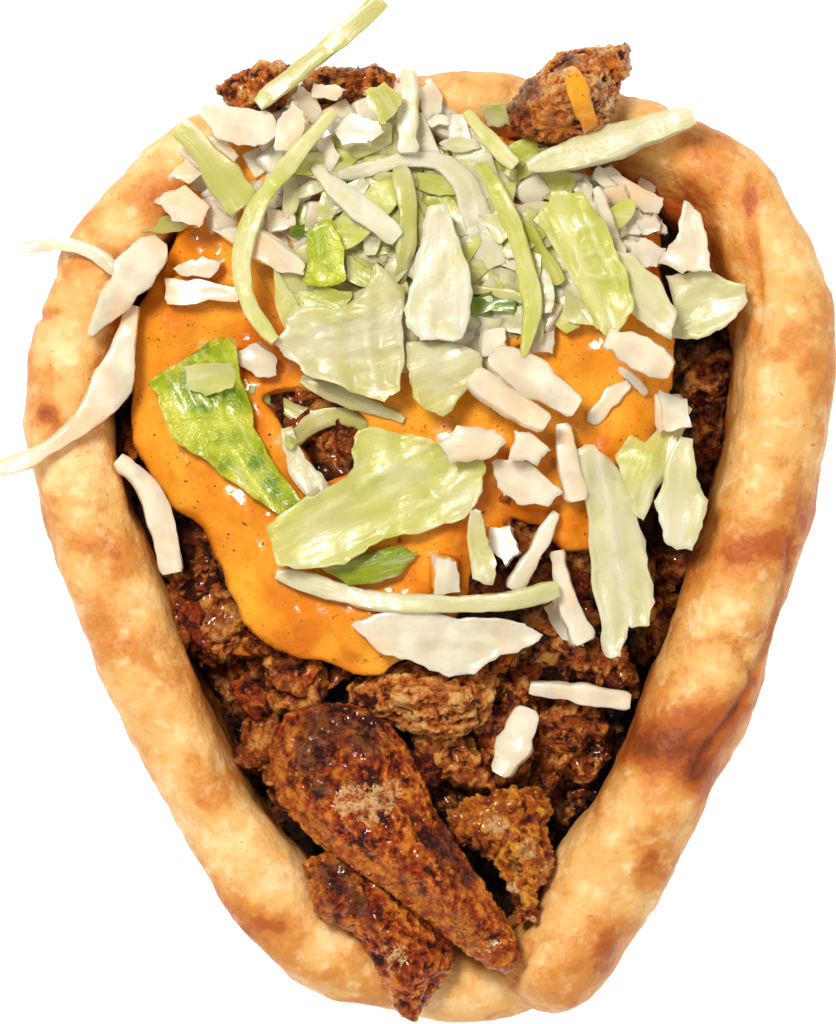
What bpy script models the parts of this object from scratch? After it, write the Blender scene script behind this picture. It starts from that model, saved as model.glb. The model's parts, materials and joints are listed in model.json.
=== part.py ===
"""A doner kebab sandwich: a thick flatbread rolled into a pocket, lying with its mouth up, with shaved meat,
sauce, shredded cabbage and onion. Lengths in the tables are millimetres, +X to the right, +Y to the wide
end, +Z up."""

import bmesh
import bpy
import numpy as np
from mathutils import Vector, noise
from mathutils.bvhtree import BVHTree
from mathutils.geometry import delaunay_2d_cdt

MM = 0.001
SEAT_GAP = 0.35
FAR_UP = 300.0
FAR_DOWN = -1000.0
SPAN_STEPS = 12

# Flatbread: its outer edge seen from above, clockwise from the end tucked under the right flap to the flap's
# own end. Each row is x, y, height of the lip, width of the lip and how far the wall leans outwards.
BREAD_EDGE = [
    (36, -71, 27, 11, 0.1), (28.5, -85.5, 28, 12, 0.1), (12.5, -93, 33, 14, 0.1), (-4.5, -91.2, 38, 15, 0.1),
    (-19.5, -88, 41, 16.5, 0.1), (-30.5, -78, 44, 17, 0.1), (-41.8, -61, 46, 17, 0.1),
    (-51.4, -42.7, 48, 16.5, 0.1), (-60.5, -20.6, 50, 16, 0.1), (-68.4, 1.6, 52, 16, 0.1),
    (-71.2, 20, 53, 15, 0.1), (-67.8, 38.3, 54, 15, 0.15), (-58.9, 54.7, 55, 14.5, 0.3),
    (-45.8, 68.8, 55, 13.5, 0.4), (-26, 76, 54, 12, 0.4), (0, 79, 53, 11, 0.5), (24, 78, 53, 11, 0.7),
    (46, 73, 54, 13, 0.9), (63.5, 62.8, 56, 15.5, 1.0), (73, 44.5, 57, 17, 0.8), (75.8, 26, 57, 17, 0.4),
    (72.9, 5.5, 55, 18.5, 0.2), (67.4, -16.3, 53, 20, 0.1), (60.4, -36.2, 51, 20.5, 0.1),
    (51.7, -55.2, 49, 21, 0.1), (43.4, -71, 46, 21.5, 0.1), (36.9, -82, 45, 20, 0.1),
    (29.1, -90, 44, 18, 0.1), (19.5, -93, 43, 16, 0.1),
]
BREAD_THICKNESS = 10.0
BREAD_SPINE = ((2.0, -52.0), (4.0, 34.0))
BREAD_FOOT = 27.0
LEAN_TOP = 15.0
LEAN_FOOT = 14.0
PAST_SPINE = 5.0
FOOT_CLEAR = 2.0
FOOT_BEND = 0.55
WAIST = 0.38
LIP_BLEND = 0.45
END_LEFT = 0.12
FLAP_END_ROUND = 8.0
FLOOR_SNAP = 0.7
BREAD_STATIONS = 150
WALL_STEPS = 9
LIP_STEPS = 6
BREAD_VOXEL = 1.7
BREAD_SHARE = 0.05

# Filling: a low dome of meat, a little lower along the walls and where the slices lie open.
HEAP_TOP = 50.0
HEAP_CENTRE = (2.0, 30.0)
HEAP_FALL = (0.0035, 0.0018)
OPEN_MEAT = (-16.0, -34.0)
OPEN_MEAT_DEPTH = 8.0
CORE_DEPTH = 1.5
MOAT_DEPTH = 9.0
MOAT_WIDTH = 13.0
CORE_BELOW_LIP = 17.0
CORE_CLEAR = 1.4
CORE_STATIONS = 80
CORE_FIRST = 6
CORE_STEPS = 7
CORE_VOXEL = 2.2
CORE_SHARE = 0.034

# Meat fused to the heap: height above the dome, thickness, outline.
HEAP_MEAT = [
    (-3, 9, [(23, -18), (31, -18), (38, -24), (39, -30), (33, -31), (27, -27)]),
    (-5, 9, [(25, -33), (33, -36), (35, -44), (31, -50), (26, -46), (24, -39)]),
    (-5, 8, [(12, -32), (20, -30), (21, -38), (17, -46), (12, -45), (11, -38)]),
    (-1, 7, [(-45, -10), (-38, -10.5), (-34.5, -15), (-32, -21), (-35.5, -26.5), (-41.5, -24), (-43, -17)]),
    (0, 6, [(-27.5, -26.5), (-22, -26.5), (-17, -29.5), (-17.5, -36), (-25, -36.5), (-27, -31)]),
    (-2, 7, [(-31, -33), (-25, -34), (-24, -42), (-25, -50), (-29, -48), (-31.5, -41)]),
    (-4, 7, [(-27, -51), (-22, -52), (-18, -58), (-20, -63), (-24, -60)]),
    (-1, 6, [(-1, -40), (6, -40), (10, -43), (14, -50), (8, -49), (1, -46.5)]),
    (-6, 8, [(0, -50), (6, -52), (10, -62), (6, -68), (0, -58)]),
    (-2, 7, [(50, 24), (53, 30), (57, 31), (60, 27), (57, 22), (53, 21)]),
    (-3, 6, [(46, 22), (49, 25.5), (51, 23), (50, 20), (47, 19.5)]),
    (-3, 7, [(47, 17), (51, 19), (54, 14), (52, 8), (48, 9)]),
    (-2, 7, [(-57, 20), (-53, 21), (-52, 14), (-54, 10), (-56.5, 13)]),
    (-3, 7, [(-52, 0), (-47, 2), (-44, -5), (-46, -11), (-50, -8)]),
    (-4, 8, [(36, -6), (42, -8), (44, -16), (40, -22), (36, -16)]),
]

# Loose meat: thickness, how much its middle swells, outline.
MEAT_SLICES = {
    "meat_slice_low": (7, 1.5, [
        (-21, -64), (-15, -61.5), (-7, -64.5), (0, -71), (5, -77), (6, -82), (2, -87.5), (0.5, -91.5),
        (-2, -92), (-5.5, -87), (-8.5, -80), (-13, -74.5), (-18, -73.5), (-19, -68)]),
    "meat_chunk_middle": (9, 3.0, [
        (-12, -31), (-4, -27), (5, -26.5), (12.5, -28), (14, -32), (11.5, -38), (6, -40.5), (-1, -39.5),
        (-7, -37), (-12, -35)]),
    "meat_fatty_piece": (5, 1.5, [
        (6, -55), (13, -51), (21, -50.5), (23.5, -54), (22.5, -58), (24.5, -62), (22.5, -66.5), (20.5, -68),
        (21.5, -72.5), (19, -75), (17.5, -71), (15, -65), (12, -61.5), (7, -60)]),
    "meat_slice_long": (6, 2.5, [
        (-27, -44), (-25.5, -38.5), (-20, -35), (-12, -35), (-5, -38.5), (-0.5, -46), (3, -54), (8, -62),
        (13, -69.5), (18, -78), (18.5, -81.5), (15.5, -83.5), (9, -79.5), (2, -74.5), (-5, -68.5),
        (-14, -62.5), (-21, -57), (-25.5, -51)]),
    "meat_piece_back": (5, 1.5, [
        (-21, 75.5), (-18, 80.5), (-14, 78.5), (-10, 80.5), (-4.5, 79), (-4, 74.5), (-12, 73)]),
    "meat_chunk_back_left": (9, 2.5, [
        (-36.5, 75.5), (-33, 78.5), (-27, 80), (-22.5, 80.5), (-22, 76), (-25.5, 72), (-32, 71.5)]),
    "meat_chunk_back": (11, 3.5, [
        (16.5, 68.5), (17, 73), (21, 77.5), (26, 82), (32, 82.5), (37.5, 83.5), (38, 80.5), (35.5, 76),
        (35, 71), (30, 67.5), (22, 66.5)]),
}
BACK_LIFT = {"meat_chunk_back": 4.0, "meat_chunk_back_left": 2.0}

# Sauce: its edge seen from above, and its thickness; the slot is where it parts over the meat.
SAUCE_EDGE = [
    (-51.5, 30), (-52, 20), (-50, 10), (-45.5, 2.5), (-39.5, -2.5), (-36, -8), (-35, -15), (-31.5, -20.5),
    (-26.5, -24), (-23.5, -27), (-20.5, -25), (-16.5, -27.5), (-11, -30), (-5, -29), (1, -25), (7, -20),
    (9.5, -12), (12, -6), (17, -0.5), (23, -3), (28, -8), (31.5, -7), (34, 0), (40, 9), (44, 18), (47, 27),
    (45, 38), (41, 50), (34, 60), (22, 65), (6, 66), (-8, 68), (-20, 68), (-30, 65), (-38, 57), (-45, 47),
    (-50, 38),
]
SAUCE_THICKNESS = 5.0
SAUCE_ROUND = 4.0
SAUCE_SLOT = [(-29, 21), (-22, 22), (-14, 20), (-9, 16), (-12, 8), (-17, 6), (-22, 13)]
# Onion bits half sunk in the sauce: outlines.
SAUCE_BITS = [
    [(-33, 29), (-29, 30), (-25.5, 27.5), (-26, 25), (-29, 24.5), (-32, 26)],
    [(3, -8.5), (7, -9), (7.5, -14.5), (3, -15)],
    [(-45.5, 42), (-39, 41.5), (-32, 40.5), (-32, 38), (-45, 37.5)],
    [(-43.5, 43), (-39, 46), (-35.5, 45), (-37, 42.5), (-42, 42)],
    [(13, -3), (16, -2.5), (18, -7), (15.5, -9.5), (13, -6)],
]

# Salad heap: edge of its core, scattered onion dice, then the pieces fused on it in the order they lie in.
SALAD_EDGE = [
    (-25, 37), (-30, 45), (-38, 52), (-43, 58), (-39, 66), (-31, 70), (-18, 73), (-4, 75), (6, 72), (18, 66),
    (33, 60), (43, 55), (43, 44), (35, 38), (24, 33), (14, 28), (2, 26), (-10, 29), (-18, 31),
]
SALAD_CORE = 1.2
SALAD_GRID = 8.0
SALAD_INSET = 2.0
SALAD_SEED = 11
DICE_COUNT = 26
DICE_APART = 7.0
DICE_SIZE = (5.5, 8.5)
DICE_THICK = (2.6, 4.2)
TILT_MOST = 0.22
SINK = 0.6
FLAT_ANGLE = 0.04
CHUNK_ROOT = 1.2
# Chunks: thickness, outline.
SALAD_CHUNKS = [
    (4, [(-44.5, 57), (-40, 58), (-37, 54.5), (-39.5, 51), (-44, 52), (-46.5, 56)]),
    (4, [(-45, 59), (-40, 62.5), (-38, 59), (-41, 57)]),
    (4, [(-41, 62), (-38, 66.5), (-33, 65), (-32, 62), (-37, 60)]),
    (5, [(-38.5, 72), (-33, 73), (-26, 71.5), (-28, 67), (-33, 66), (-37, 68.5)]),
    (6, [(-24.5, 70), (-22, 73), (-20, 70), (-21, 65), (-24.5, 64), (-25.5, 67)]),
    (4, [(-19, 77), (-15, 76.5), (-14, 73), (-19, 71.5), (-21, 74)]),
    (5, [(-15, 71), (-9, 71.5), (-6, 69), (-9, 66), (-14, 67)]),
    (5, [(0, 77), (3, 78.5), (4.5, 75.5), (2.5, 72), (-0.5, 73)]),
    (4, [(4, 75), (7, 74), (7, 71), (3, 70)]),
    (4, [(20, 67.5), (23, 68), (25, 65.5), (21, 65)]),
    (4, [(35, 50), (40, 50), (42, 45.5), (38, 44)]),
    (3, [(-28, 45), (-22, 45), (-21, 38), (-27, 38)]),
    (3, [(12, 32), (16, 33), (15.5, 29), (11, 29)]),
    (3, [(20, 32), (24.5, 31.5), (24, 28.5), (19.5, 28.5)]),
    (3, [(-20, 37), (-13, 38), (-12, 33), (-19, 33)]),
    (3, [(26, 40), (31, 38), (32, 33), (27, 34)]),
]
# Strips: thickness, rows of x, y and width.
SALAD_STRIPS = [
    (2.0, [(-37, 50.5, 2), (-30, 49, 5), (-21, 44, 3.4)]),
    (2.0, [(-28, 34, 3), (-24.5, 42, 3.2), (-22.5, 44, 2)]),
    (2.0, [(-17, 69, 3), (-16, 65, 5), (-15.5, 60, 4)]),
    (2.0, [(-9, 77, 3), (-7, 73, 7), (-6, 69, 5)]),
    (1.8, [(1, 66, 4), (8, 66.8, 4.5), (16.5, 62.5, 4)]),
    (1.8, [(20, 51, 2), (24, 46, 4), (28, 41, 3)]),
    (2.0, [(31, 52, 3), (38, 52.5, 4.5), (45, 51.5, 3)]),
    (2.0, [(33, 59, 4), (39, 57, 5), (43, 55, 3)]),
    (2.0, [(31, 60, 3), (36, 52, 3.6), (38, 45, 3)]),
    (1.8, [(8.3, 71.5, 1.6), (12, 66.5, 3), (17.5, 61, 3.6)]),
    (2.2, [(-3, 61, 5), (-2.4, 52, 5), (-1.2, 41, 2.2)]),
    (2.2, [(-18.5, 61.5, 2.5), (-12, 55.5, 5), (-5.5, 50.5, 6.5), (-1, 48, 3)]),
    (1.6, [(-13, 60.5, 2.6), (-6, 62.3, 2.8), (1, 62.3, 3.4), (6.5, 57.5, 5), (10, 50, 6.5), (13, 43, 6)]),
    (1.8, [
        (10.5, 62.8, 2), (14, 57.5, 3), (18, 48.5, 4), (20.3, 40, 3.6), (20.3, 34, 3), (18.8, 27.5, 1.6)]),
]

# Loose strips, in the order in which they are laid: thickness, sag, rows of x, y and width.
LOOSE_STRIPS = {
    "onion_slice_low": (3.0, 0.0, [(20, -35.5, 4), (17.5, -42, 6.5), (15, -47.5, 3)]),
    "strip_right_low": (2.6, 0.0, [(20.3, -31.8, 2), (27, -32.5, 3.4), (38.5, -34.5, 3)]),
    "strip_right_upright": (2.4, 0.02, [(25.2, -7, 2.6), (26.5, -15, 3.6), (30, -23.5, 5)]),
    "strip_centre_slant": (2.0, 0.0, [(25, 0, 2), (21.5, -6.5, 3), (17, -14, 3.6)]),
    "strip_left_low": (2.4, 0.02, [(-54, 9.5, 3.6), (-49, 4.5, 3.8), (-46, -3, 4.6), (-44.3, -11, 4.8)]),
    "strip_left_long": (2.6, 0.03, [
        (-75.5, 7.5, 2.6), (-68, 10.5, 3.2), (-60, 16.5, 4.4), (-55, 23, 7), (-52.6, 31, 4), (-51, 37, 2)]),
    "strip_left_thin": (2.0, 0.02, [(-71.5, 47.3, 2.4), (-64, 48, 2.8), (-58, 46.5, 2.8), (-54, 43, 2.4)]),
    "cabbage_rib_left": (3.4, 0.0, [(-59, 32, 1.6), (-54, 38.5, 6.5), (-50, 44, 8), (-46.5, 48, 4)]),
    "strip_bottom": (2.2, 0.02, [
        (-25.5, -11, 2.6), (-17, -13.5, 4), (-8, -16, 3.6), (4, -16.6, 3.4), (16, -16, 3.6),
        (25, -13.8, 4)]),
    "strip_centre_upright": (3.0, 0.0, [(26, 15.5, 3.4), (27, 8.5, 4), (28.6, 2, 3.8)]),
    "rib_middle_under": (3.0, 0.0, [(9.5, 24.5, 4), (15.5, 20, 5), (23, 15.5, 3.6)]),
    "rib_middle": (3.4, 0.0, [(13, 28, 4.5), (20, 24, 7), (28.5, 18.7, 5)]),
    "rib_right": (3.2, 0.0, [(33.5, 31, 4), (39, 28.5, 5.5), (45, 25.3, 4)]),
    "cabbage_strip_green_left": (1.8, 0.02, [(-42.6, 69, 4), (-37, 62.8, 6.5), (-31, 54.5, 7)]),
    "strip_top_upright": (2.6, 0.02, [(-1.6, 79, 3.4), (-1.8, 71, 3.6), (-1.8, 64, 3.6)]),
    "rib_right_slant": (3.2, 0.01, [(19.5, 61.8, 2.6), (29, 64.2, 5.2), (39, 67.5, 5.4), (49.3, 70.8, 4)]),
    "strip_top": (2.0, 0.01, [(-28.5, 72.5, 2.6), (-20, 79.5, 3.6), (-12, 86, 3.8), (-6.3, 91.3, 4)]),
    "strip_curl": (1.6, 0.02, [
        (-15, 71.4, 2.4), (-20.5, 65, 3), (-27.3, 56.5, 3.2), (-31, 48, 3.2), (-31, 40, 3), (-28.5, 34, 2.8),
        (-25.5, 30.5, 2.4)]),
}
# Loose leaves, laid before the strips: thickness, outline.
LOOSE_LEAVES = {
    "green_pepper_slice": (1.6, [
        (-17, -10), (-11, -8), (-4, -6.4), (0, -7.5), (-2.5, -10.5), (-8, -13), (-13, -12.6)]),
    "cabbage_leaf_bottom": (1.6, [
        (-11.5, -20.5), (-8, -18.3), (0, -17.8), (7, -19), (14, -19), (19, -20), (22.5, -22), (21, -24),
        (15, -26), (10, -29), (6, -29.8), (0, -27), (-6, -25.8)]),
    "cabbage_leaf_green": (1.4, [
        (-48, 23.5), (-42, 27), (-37, 31), (-33, 31), (-31.5, 24), (-29.5, 15), (-25, 6.5), (-20, 1.5),
        (-25, -0.5), (-33, 5), (-39, 10), (-44, 13), (-46.5, 19)]),
    "cabbage_strip_hole": (2.0, [
        (-24.5, 14.5), (-22.5, 15), (-20, 9.5), (-15.5, 4.5), (-20, 2), (-23, 6.5)]),
    "cabbage_leaf_pale": (1.6, [
        (-27, -3), (-25.5, -9), (-22, -10.5), (-13, -9), (-6, -5), (2, -3), (8.5, -1), (11.5, 3.5), (12, 8),
        (10.5, 11.5), (3, 13), (-3, 14), (-7, 15.3), (-10.5, 15), (-11.8, 11.5), (-11, 8), (-15, 5),
        (-21, 1.5)]),
    "cabbage_leaf_right_long": (1.8, [
        (28.5, 11), (31.5, 11.7), (35.5, 8.5), (38, 3), (40.5, -5), (42, -13), (41.5, -20.5), (38, -21),
        (36.5, -26), (34, -25.5), (33, -20), (31, -10), (30.5, -2), (30, 5)]),
    "cabbage_leaf_yellow": (1.4, [
        (38, 14), (41, 12.5), (45, 17), (48.3, 15.5), (44.5, 7), (40.5, -1.5), (38.5, 0), (37, 5),
        (35.5, 10)]),
    "cabbage_rib_right": (2.6, [
        (44.5, 8), (47, 14), (49.5, 13), (49.3, 7), (51.5, 2), (51, -1.5), (49, -7), (44.5, -6), (43, -2),
        (42.5, 1.5)]),
    "onion_slice_right": (2.6, [(42, 21.5), (47, 20.5), (49, 18), (46, 15), (43, 14.5)]),
    "onion_petal_middle": (2.2, [(13, 9.5), (18, 9.2), (22, 7), (26, 3.5), (23.5, 1), (18, 1.5), (14.5, 5)]),
    "onion_dice_centre": (4.0, [(4, 12), (7, 15), (13.5, 15.5), (15.5, 12.5), (13, 9.3), (6, 9)]),
    "onion_dice_right": (4.0, [(17, 14.5), (20, 14.6), (23.5, 11), (21.5, 7.8), (16.5, 9.8)]),
    "cabbage_leaf_curl": (1.4, [(9, 0), (11, 0.5), (12.5, -4), (13.8, -9), (12.5, -13), (9.5, -11.5)]),
    "cabbage_leaf_far_right": (2.0, [
        (45, 31), (46, 36), (44.5, 42), (50, 43), (58.5, 40.5), (58.5, 38), (55, 33), (50, 31)]),
    "onion_petal_right": (3.0, [
        (43, 45), (46, 49), (47.6, 55.5), (50.3, 53), (52, 47), (52.8, 43.5), (47, 43)]),
    "cabbage_leaf_veiled": (1.4, [
        (32, 48), (38, 46), (43, 41.5), (46, 35.5), (45.5, 31), (41, 32.5), (37, 37), (33, 42)]),
    "cabbage_leaf_ribbed": (1.6, [
        (21, 52), (24, 57), (29.5, 57), (33, 51.5), (36, 44.5), (38.5, 37), (35.5, 31.3), (31.5, 33),
        (28, 41)]),
    "cabbage_leaf_big": (1.6, [
        (-25.5, 30), (-22, 36.5), (-14, 36), (-10, 39), (-7, 44.5), (-2.5, 40), (-2.8, 30), (-3.5, 21.5),
        (-6, 20), (-12, 21.5), (-20, 25), (-24, 28)]),
    "cabbage_rib_centre_low": (2.0, [
        (-1.5, 30), (6, 30.5), (11, 28.5), (12, 25), (8, 20.5), (4.5, 17.5), (-0.5, 19.5), (-2, 25)]),
    "cabbage_rib_centre": (2.6, [
        (1.8, 54), (5, 54.8), (7, 48), (9, 41), (9.5, 35), (8, 31), (0, 30.5), (-2.2, 33.5), (-1, 40),
        (0, 47)]),
    "cabbage_strip_bright": (1.8, [
        (-20, 50), (-16, 52.5), (-13.3, 47), (-13.3, 41), (-20, 40.5), (-19.3, 46)]),
}
ROW_SHARE = 0.87
RIM_CLEAR = 0.55
INSET_KEPT = 0.85
LEAF_GRID = 4.5
LEAF_WAVE = 1.2
SLICE_GRID = 4.0
SLICE_EDGE = 1.6
SAUCE_GRID = 6.2
SHEET_SAG = 0.05
AROUND_STEPS = 8
SHEET_ROUNDS = 60
STRIP_ROUNDS = 500
STRIP_STEP = 4.5
SHEET_REACH = 1.0
RAISE_STEP = 0.3
RAISE_TRIES = 60
TIP_SLOPE = 0.5


def smooth_path(rows, count, closed=False):
    """Rows evenly spaced along a smooth curve through the given rows, which start with x and y."""
    rows = np.array(rows, float)
    if closed:
        padded = np.vstack([rows[-1:], rows, rows[:2]])
    else:
        padded = np.vstack([2 * rows[0] - rows[1], rows, 2 * rows[-1] - rows[-2]])
    t = np.linspace(0, 1, SPAN_STEPS, endpoint=False)[:, None]
    spans = []
    for a, b, c, d in zip(padded, padded[1:], padded[2:], padded[3:]):
        bend = (2 * a - 5 * b + 4 * c - d) * t**2 + (3 * b - a - 3 * c + d) * t**3
        spans.append(b + 0.5 * ((c - a) * t + bend))
    spans.append(rows[:1] if closed else rows[-1:])
    fine = np.vstack(spans)
    along = np.concatenate([[0], np.cumsum(np.linalg.norm(np.diff(fine[:, :2], axis=0), axis=1))])
    where = np.linspace(0, along[-1], count + 1 if closed else count)
    if closed:
        where = where[:-1]
    return np.column_stack([np.interp(where, along, column) for column in fine.T])


def ease(low, high, value):
    """0 at low, 1 at high, with a smooth change between them."""
    t = np.clip((value - low) / (high - low), 0, 1)
    return t * t * (3 - 2 * t)


def heap_height(x, y):
    return (
        HEAP_TOP
        - HEAP_FALL[0] * (x - HEAP_CENTRE[0]) ** 2
        - HEAP_FALL[1] * (y - HEAP_CENTRE[1]) ** 2
    )


def rough(x, y, size, height):
    """Gentle relief of the given grain size and height."""
    return height * noise.noise(Vector((x / size, y / size, 0.37 * size)))


def material(name, colour, roughness):
    made = bpy.data.materials.get(name) or bpy.data.materials.new(name)
    made.use_nodes = True
    shader = made.node_tree.nodes["Principled BSDF"]
    shader.inputs["Base Color"].default_value = (*colour, 1)
    shader.inputs["Roughness"].default_value = roughness
    shader.inputs["Metallic"].default_value = 0
    return made


def make_object(name, points, faces, collection, look):
    """A mesh object from points in millimetres."""
    mesh = bpy.data.meshes.new(name)
    corners = [tuple(p * MM for p in point) for point in points]
    mesh.from_pydata(corners, [], [list(map(int, f)) for f in faces])
    mesh.validate()
    made = bpy.data.objects.new(name, mesh)
    collection.objects.link(made)
    if look:
        mesh.materials.append(look)
    return made


def face_outwards(target):
    shape = bmesh.new()
    shape.from_mesh(target.data)
    bmesh.ops.recalc_face_normals(shape, faces=shape.faces)
    shape.to_mesh(target.data)
    shape.free()


def settle_mesh(target):
    """Replaces the object's mesh by what its modifiers make of it."""
    graph = bpy.context.evaluated_depsgraph_get()
    made = bpy.data.meshes.new_from_object(target.evaluated_get(graph))
    target.modifiers.clear()
    target.data = made


def keep_largest(target):
    """Drops loose scraps, so that the object is one body."""
    shape = bmesh.new()
    shape.from_mesh(target.data)
    islands, left = [], set(shape.verts)
    while left:
        reached, edge = set(), [left.pop()]
        while edge:
            vertex = edge.pop()
            reached.add(vertex)
            for link in vertex.link_edges:
                other = link.other_vert(vertex)
                if other in left:
                    left.discard(other)
                    edge.append(other)
        islands.append(reached)
    islands.sort(key=len)
    scraps = [vertex for island in islands[:-1] for vertex in island]
    if scraps:
        bmesh.ops.delete(shape, geom=scraps, context="VERTS")
    shape.to_mesh(target.data)
    shape.free()


def fused(target, voxel, share):
    """One closed skin over the overlapping shapes of a mesh, with about the given share of its faces."""
    remesh = target.modifiers.new("one_skin", "REMESH")
    remesh.mode = "VOXEL"
    remesh.voxel_size = voxel * MM
    thin = target.modifiers.new("fewer_faces", "DECIMATE")
    thin.ratio = share
    thin.use_collapse_triangulate = True
    settle_mesh(target)
    keep_largest(target)


def swept_rings(rings, closed):
    """Points and faces of a tube through equal rings of points, with its ends capped if it isn't closed."""
    count, size = len(rings), len(rings[0])
    points = [p for ring in rings for p in ring]
    faces = []
    for i in range(count if closed else count - 1):
        a, b = i * size, (i + 1) % count * size
        for j in range(size):
            k = (j + 1) % size
            faces.append((a + j, a + k, b + k))
            faces.append((a + j, b + k, b + j))
    if not closed:
        last = (count - 1) * size
        for j in range(1, size - 1):
            faces.append((0, j + 1, j))
            faces.append((last, last + j, last + j + 1))
    return points, faces


def bread_stations(count):
    """Places round the bread: outer point, direction and distance to the spine, then the lip's sizes."""
    low, high = (np.array(p) for p in BREAD_SPINE)
    span = high - low
    made = []
    for x, y, crest, width, lean in smooth_path(BREAD_EDGE, count):
        outer = np.array([x, y])
        share = np.clip((outer - low) @ span / (span @ span), 0, 1)
        inward = low + share * span - outer
        reach = np.linalg.norm(inward)
        made.append((outer, inward / reach, reach + PAST_SPINE, crest, width, lean))
    return made


def wall_line(crest, width, lean, reach):
    """The middle of the bread's wall and floor at one station, from lip to spine: points, outward normals
    and half thicknesses, in distance inwards and height."""
    half = BREAD_THICKNESS / 2
    foot = min(BREAD_FOOT + lean * LEAN_FOOT, reach - FOOT_CLEAR)
    bend = np.array([
        (width / 2, crest - width / 2),
        (width / 2 + 1 + lean * LEAN_TOP, WAIST * crest),
        (foot * FOOT_BEND, half),
        (foot, half),
    ])
    t = np.linspace(0, 1, WALL_STEPS)[:, None]
    back = 1 - t
    line = back**3 * bend[0] + 3 * back**2 * t * bend[1] + 3 * back * t**2 * bend[2] + t**3 * bend[3]
    line = np.vstack([line, [(reach, half)]])
    tangent = np.gradient(line, axis=0)
    tangent[-1] = (1, 0)
    tangent[-2] = (1, 0)
    tangent /= np.linalg.norm(tangent, axis=1)[:, None]
    normal = np.column_stack([tangent[:, 1], -tangent[:, 0]])
    along = np.linspace(0, 1, len(line))
    halves = half + (width / 2 - half) * (1 - ease(0, LIP_BLEND, along))
    return line, normal, halves


def bread_mesh(stations):
    """The flatbread as one overlapping sweep of its wall, from the tucked end round to the flap's end."""
    edge = np.array([s[0] for s in stations])
    run = np.concatenate([[0], np.cumsum(np.linalg.norm(np.diff(edge, axis=0), axis=1))])
    rings = []
    for (outer, inward, reach, crest, width, lean), gone in zip(stations, run):
        line, normal, halves = wall_line(crest, width, lean, reach)
        left = min((run[-1] - gone) / FLAP_END_ROUND, 1)
        shrink = max(np.sqrt(1 - (1 - left) ** 2), END_LEFT)
        lip = line[0]
        outside = line + normal * (halves * shrink)[:, None]
        inside = line - normal * (halves * shrink)[:, None]
        angle = np.linspace(0, np.pi, LIP_STEPS + 2)[1:-1]
        cap = lip + shrink * width / 2 * np.column_stack([-np.cos(angle), np.sin(angle)])
        section = np.vstack([outside[::-1], cap, inside])
        rings.append([(*(outer + inward * d), z) for d, z in section])
    return swept_rings(rings, closed=False)


def make_bread(collection, look):
    points, faces = bread_mesh(bread_stations(BREAD_STATIONS))
    bread = make_object("flatbread", points, faces, collection, look)
    face_outwards(bread)
    fused(bread, BREAD_VOXEL, BREAD_SHARE)
    for vertex in bread.data.vertices:
        if vertex.co.z < FLOOR_SNAP * MM:
            vertex.co.z = 0
    return bread


def core_depth(y):
    return CORE_DEPTH + OPEN_MEAT_DEPTH * ease(*OPEN_MEAT, y)


def make_meat_core(collection, look):
    """The packed meat that fills the pocket, clear of the bread, up to just under the pieces that show."""
    rings = []
    for outer, inward, reach, crest, width, lean in bread_stations(CORE_STATIONS)[CORE_FIRST:]:
        line, normal, halves = wall_line(crest, width, lean, reach)
        wall = line - normal * (halves + CORE_CLEAR)[:, None]
        top = crest - CORE_BELOW_LIP
        wall[:, 1] = np.minimum(wall[:, 1], top)
        first = wall[0, 0]
        surface = []
        for d in np.linspace(first + CORE_CLEAR, reach, CORE_STEPS):
            x, y = outer + inward * d
            moat = MOAT_DEPTH * (1 - ease(0, MOAT_WIDTH, d - first))
            level = heap_height(x, y) - core_depth(y) - moat
            surface.append((d, min(level, top + (d - first))))
        section = np.vstack([surface[::-1], wall])
        rings.append([(*(outer + inward * d), z) for d, z in section])
    points, faces = swept_rings(rings, closed=True)
    core = make_object("meat_heap", points, faces, collection, look)
    face_outwards(core)
    fused(core, CORE_VOXEL, CORE_SHARE)
    return core


def sheet_grid(outline, grid, inset=0.0):
    """Points inside an outline with their triangles, and the outline as used; an inset rounds it first and
    adds a row of points that far inside it."""
    rim = np.array(outline, float)
    if inset:
        length = np.linalg.norm(rim - np.roll(rim, -1, axis=0), axis=1).sum()
        rim = smooth_path(rim, max(8, int(length / grid)), closed=True)
    ahead = np.roll(rim, -1, axis=0)
    inner = []
    if inset:
        turn = np.sign((rim[:, 0] * ahead[:, 1] - ahead[:, 0] * rim[:, 1]).sum())
        along = ahead - np.roll(rim, 1, axis=0)
        length = np.linalg.norm(along, axis=1)[:, None]
        inward = np.column_stack([-along[:, 1], along[:, 0]]) * turn / length
        kept = INSET_KEPT * inset
        inner = [tuple(p) for p in rim + inward * inset if edge_distance(*p, rim, ahead) > kept]
    low, high = rim.min(axis=0), rim.max(axis=0)
    for row, y in enumerate(np.arange(low[1], high[1], grid * ROW_SHARE)):
        for x in np.arange(low[0] + grid / 2 * (row % 2), high[0], grid):
            if edge_distance(x, y, rim, ahead) > inset + RIM_CLEAR * grid:
                inner.append((x, y))
    points = np.vstack([rim, inner]) if inner else rim
    edges = [(i, (i + 1) % len(rim)) for i in range(len(rim))]
    found = delaunay_2d_cdt([Vector(p) for p in points], edges, [], 1, 1e-4)
    flat = np.array([tuple(p) for p in found[0]])
    return flat, [tuple(f) for f in found[2]], rim


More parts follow.
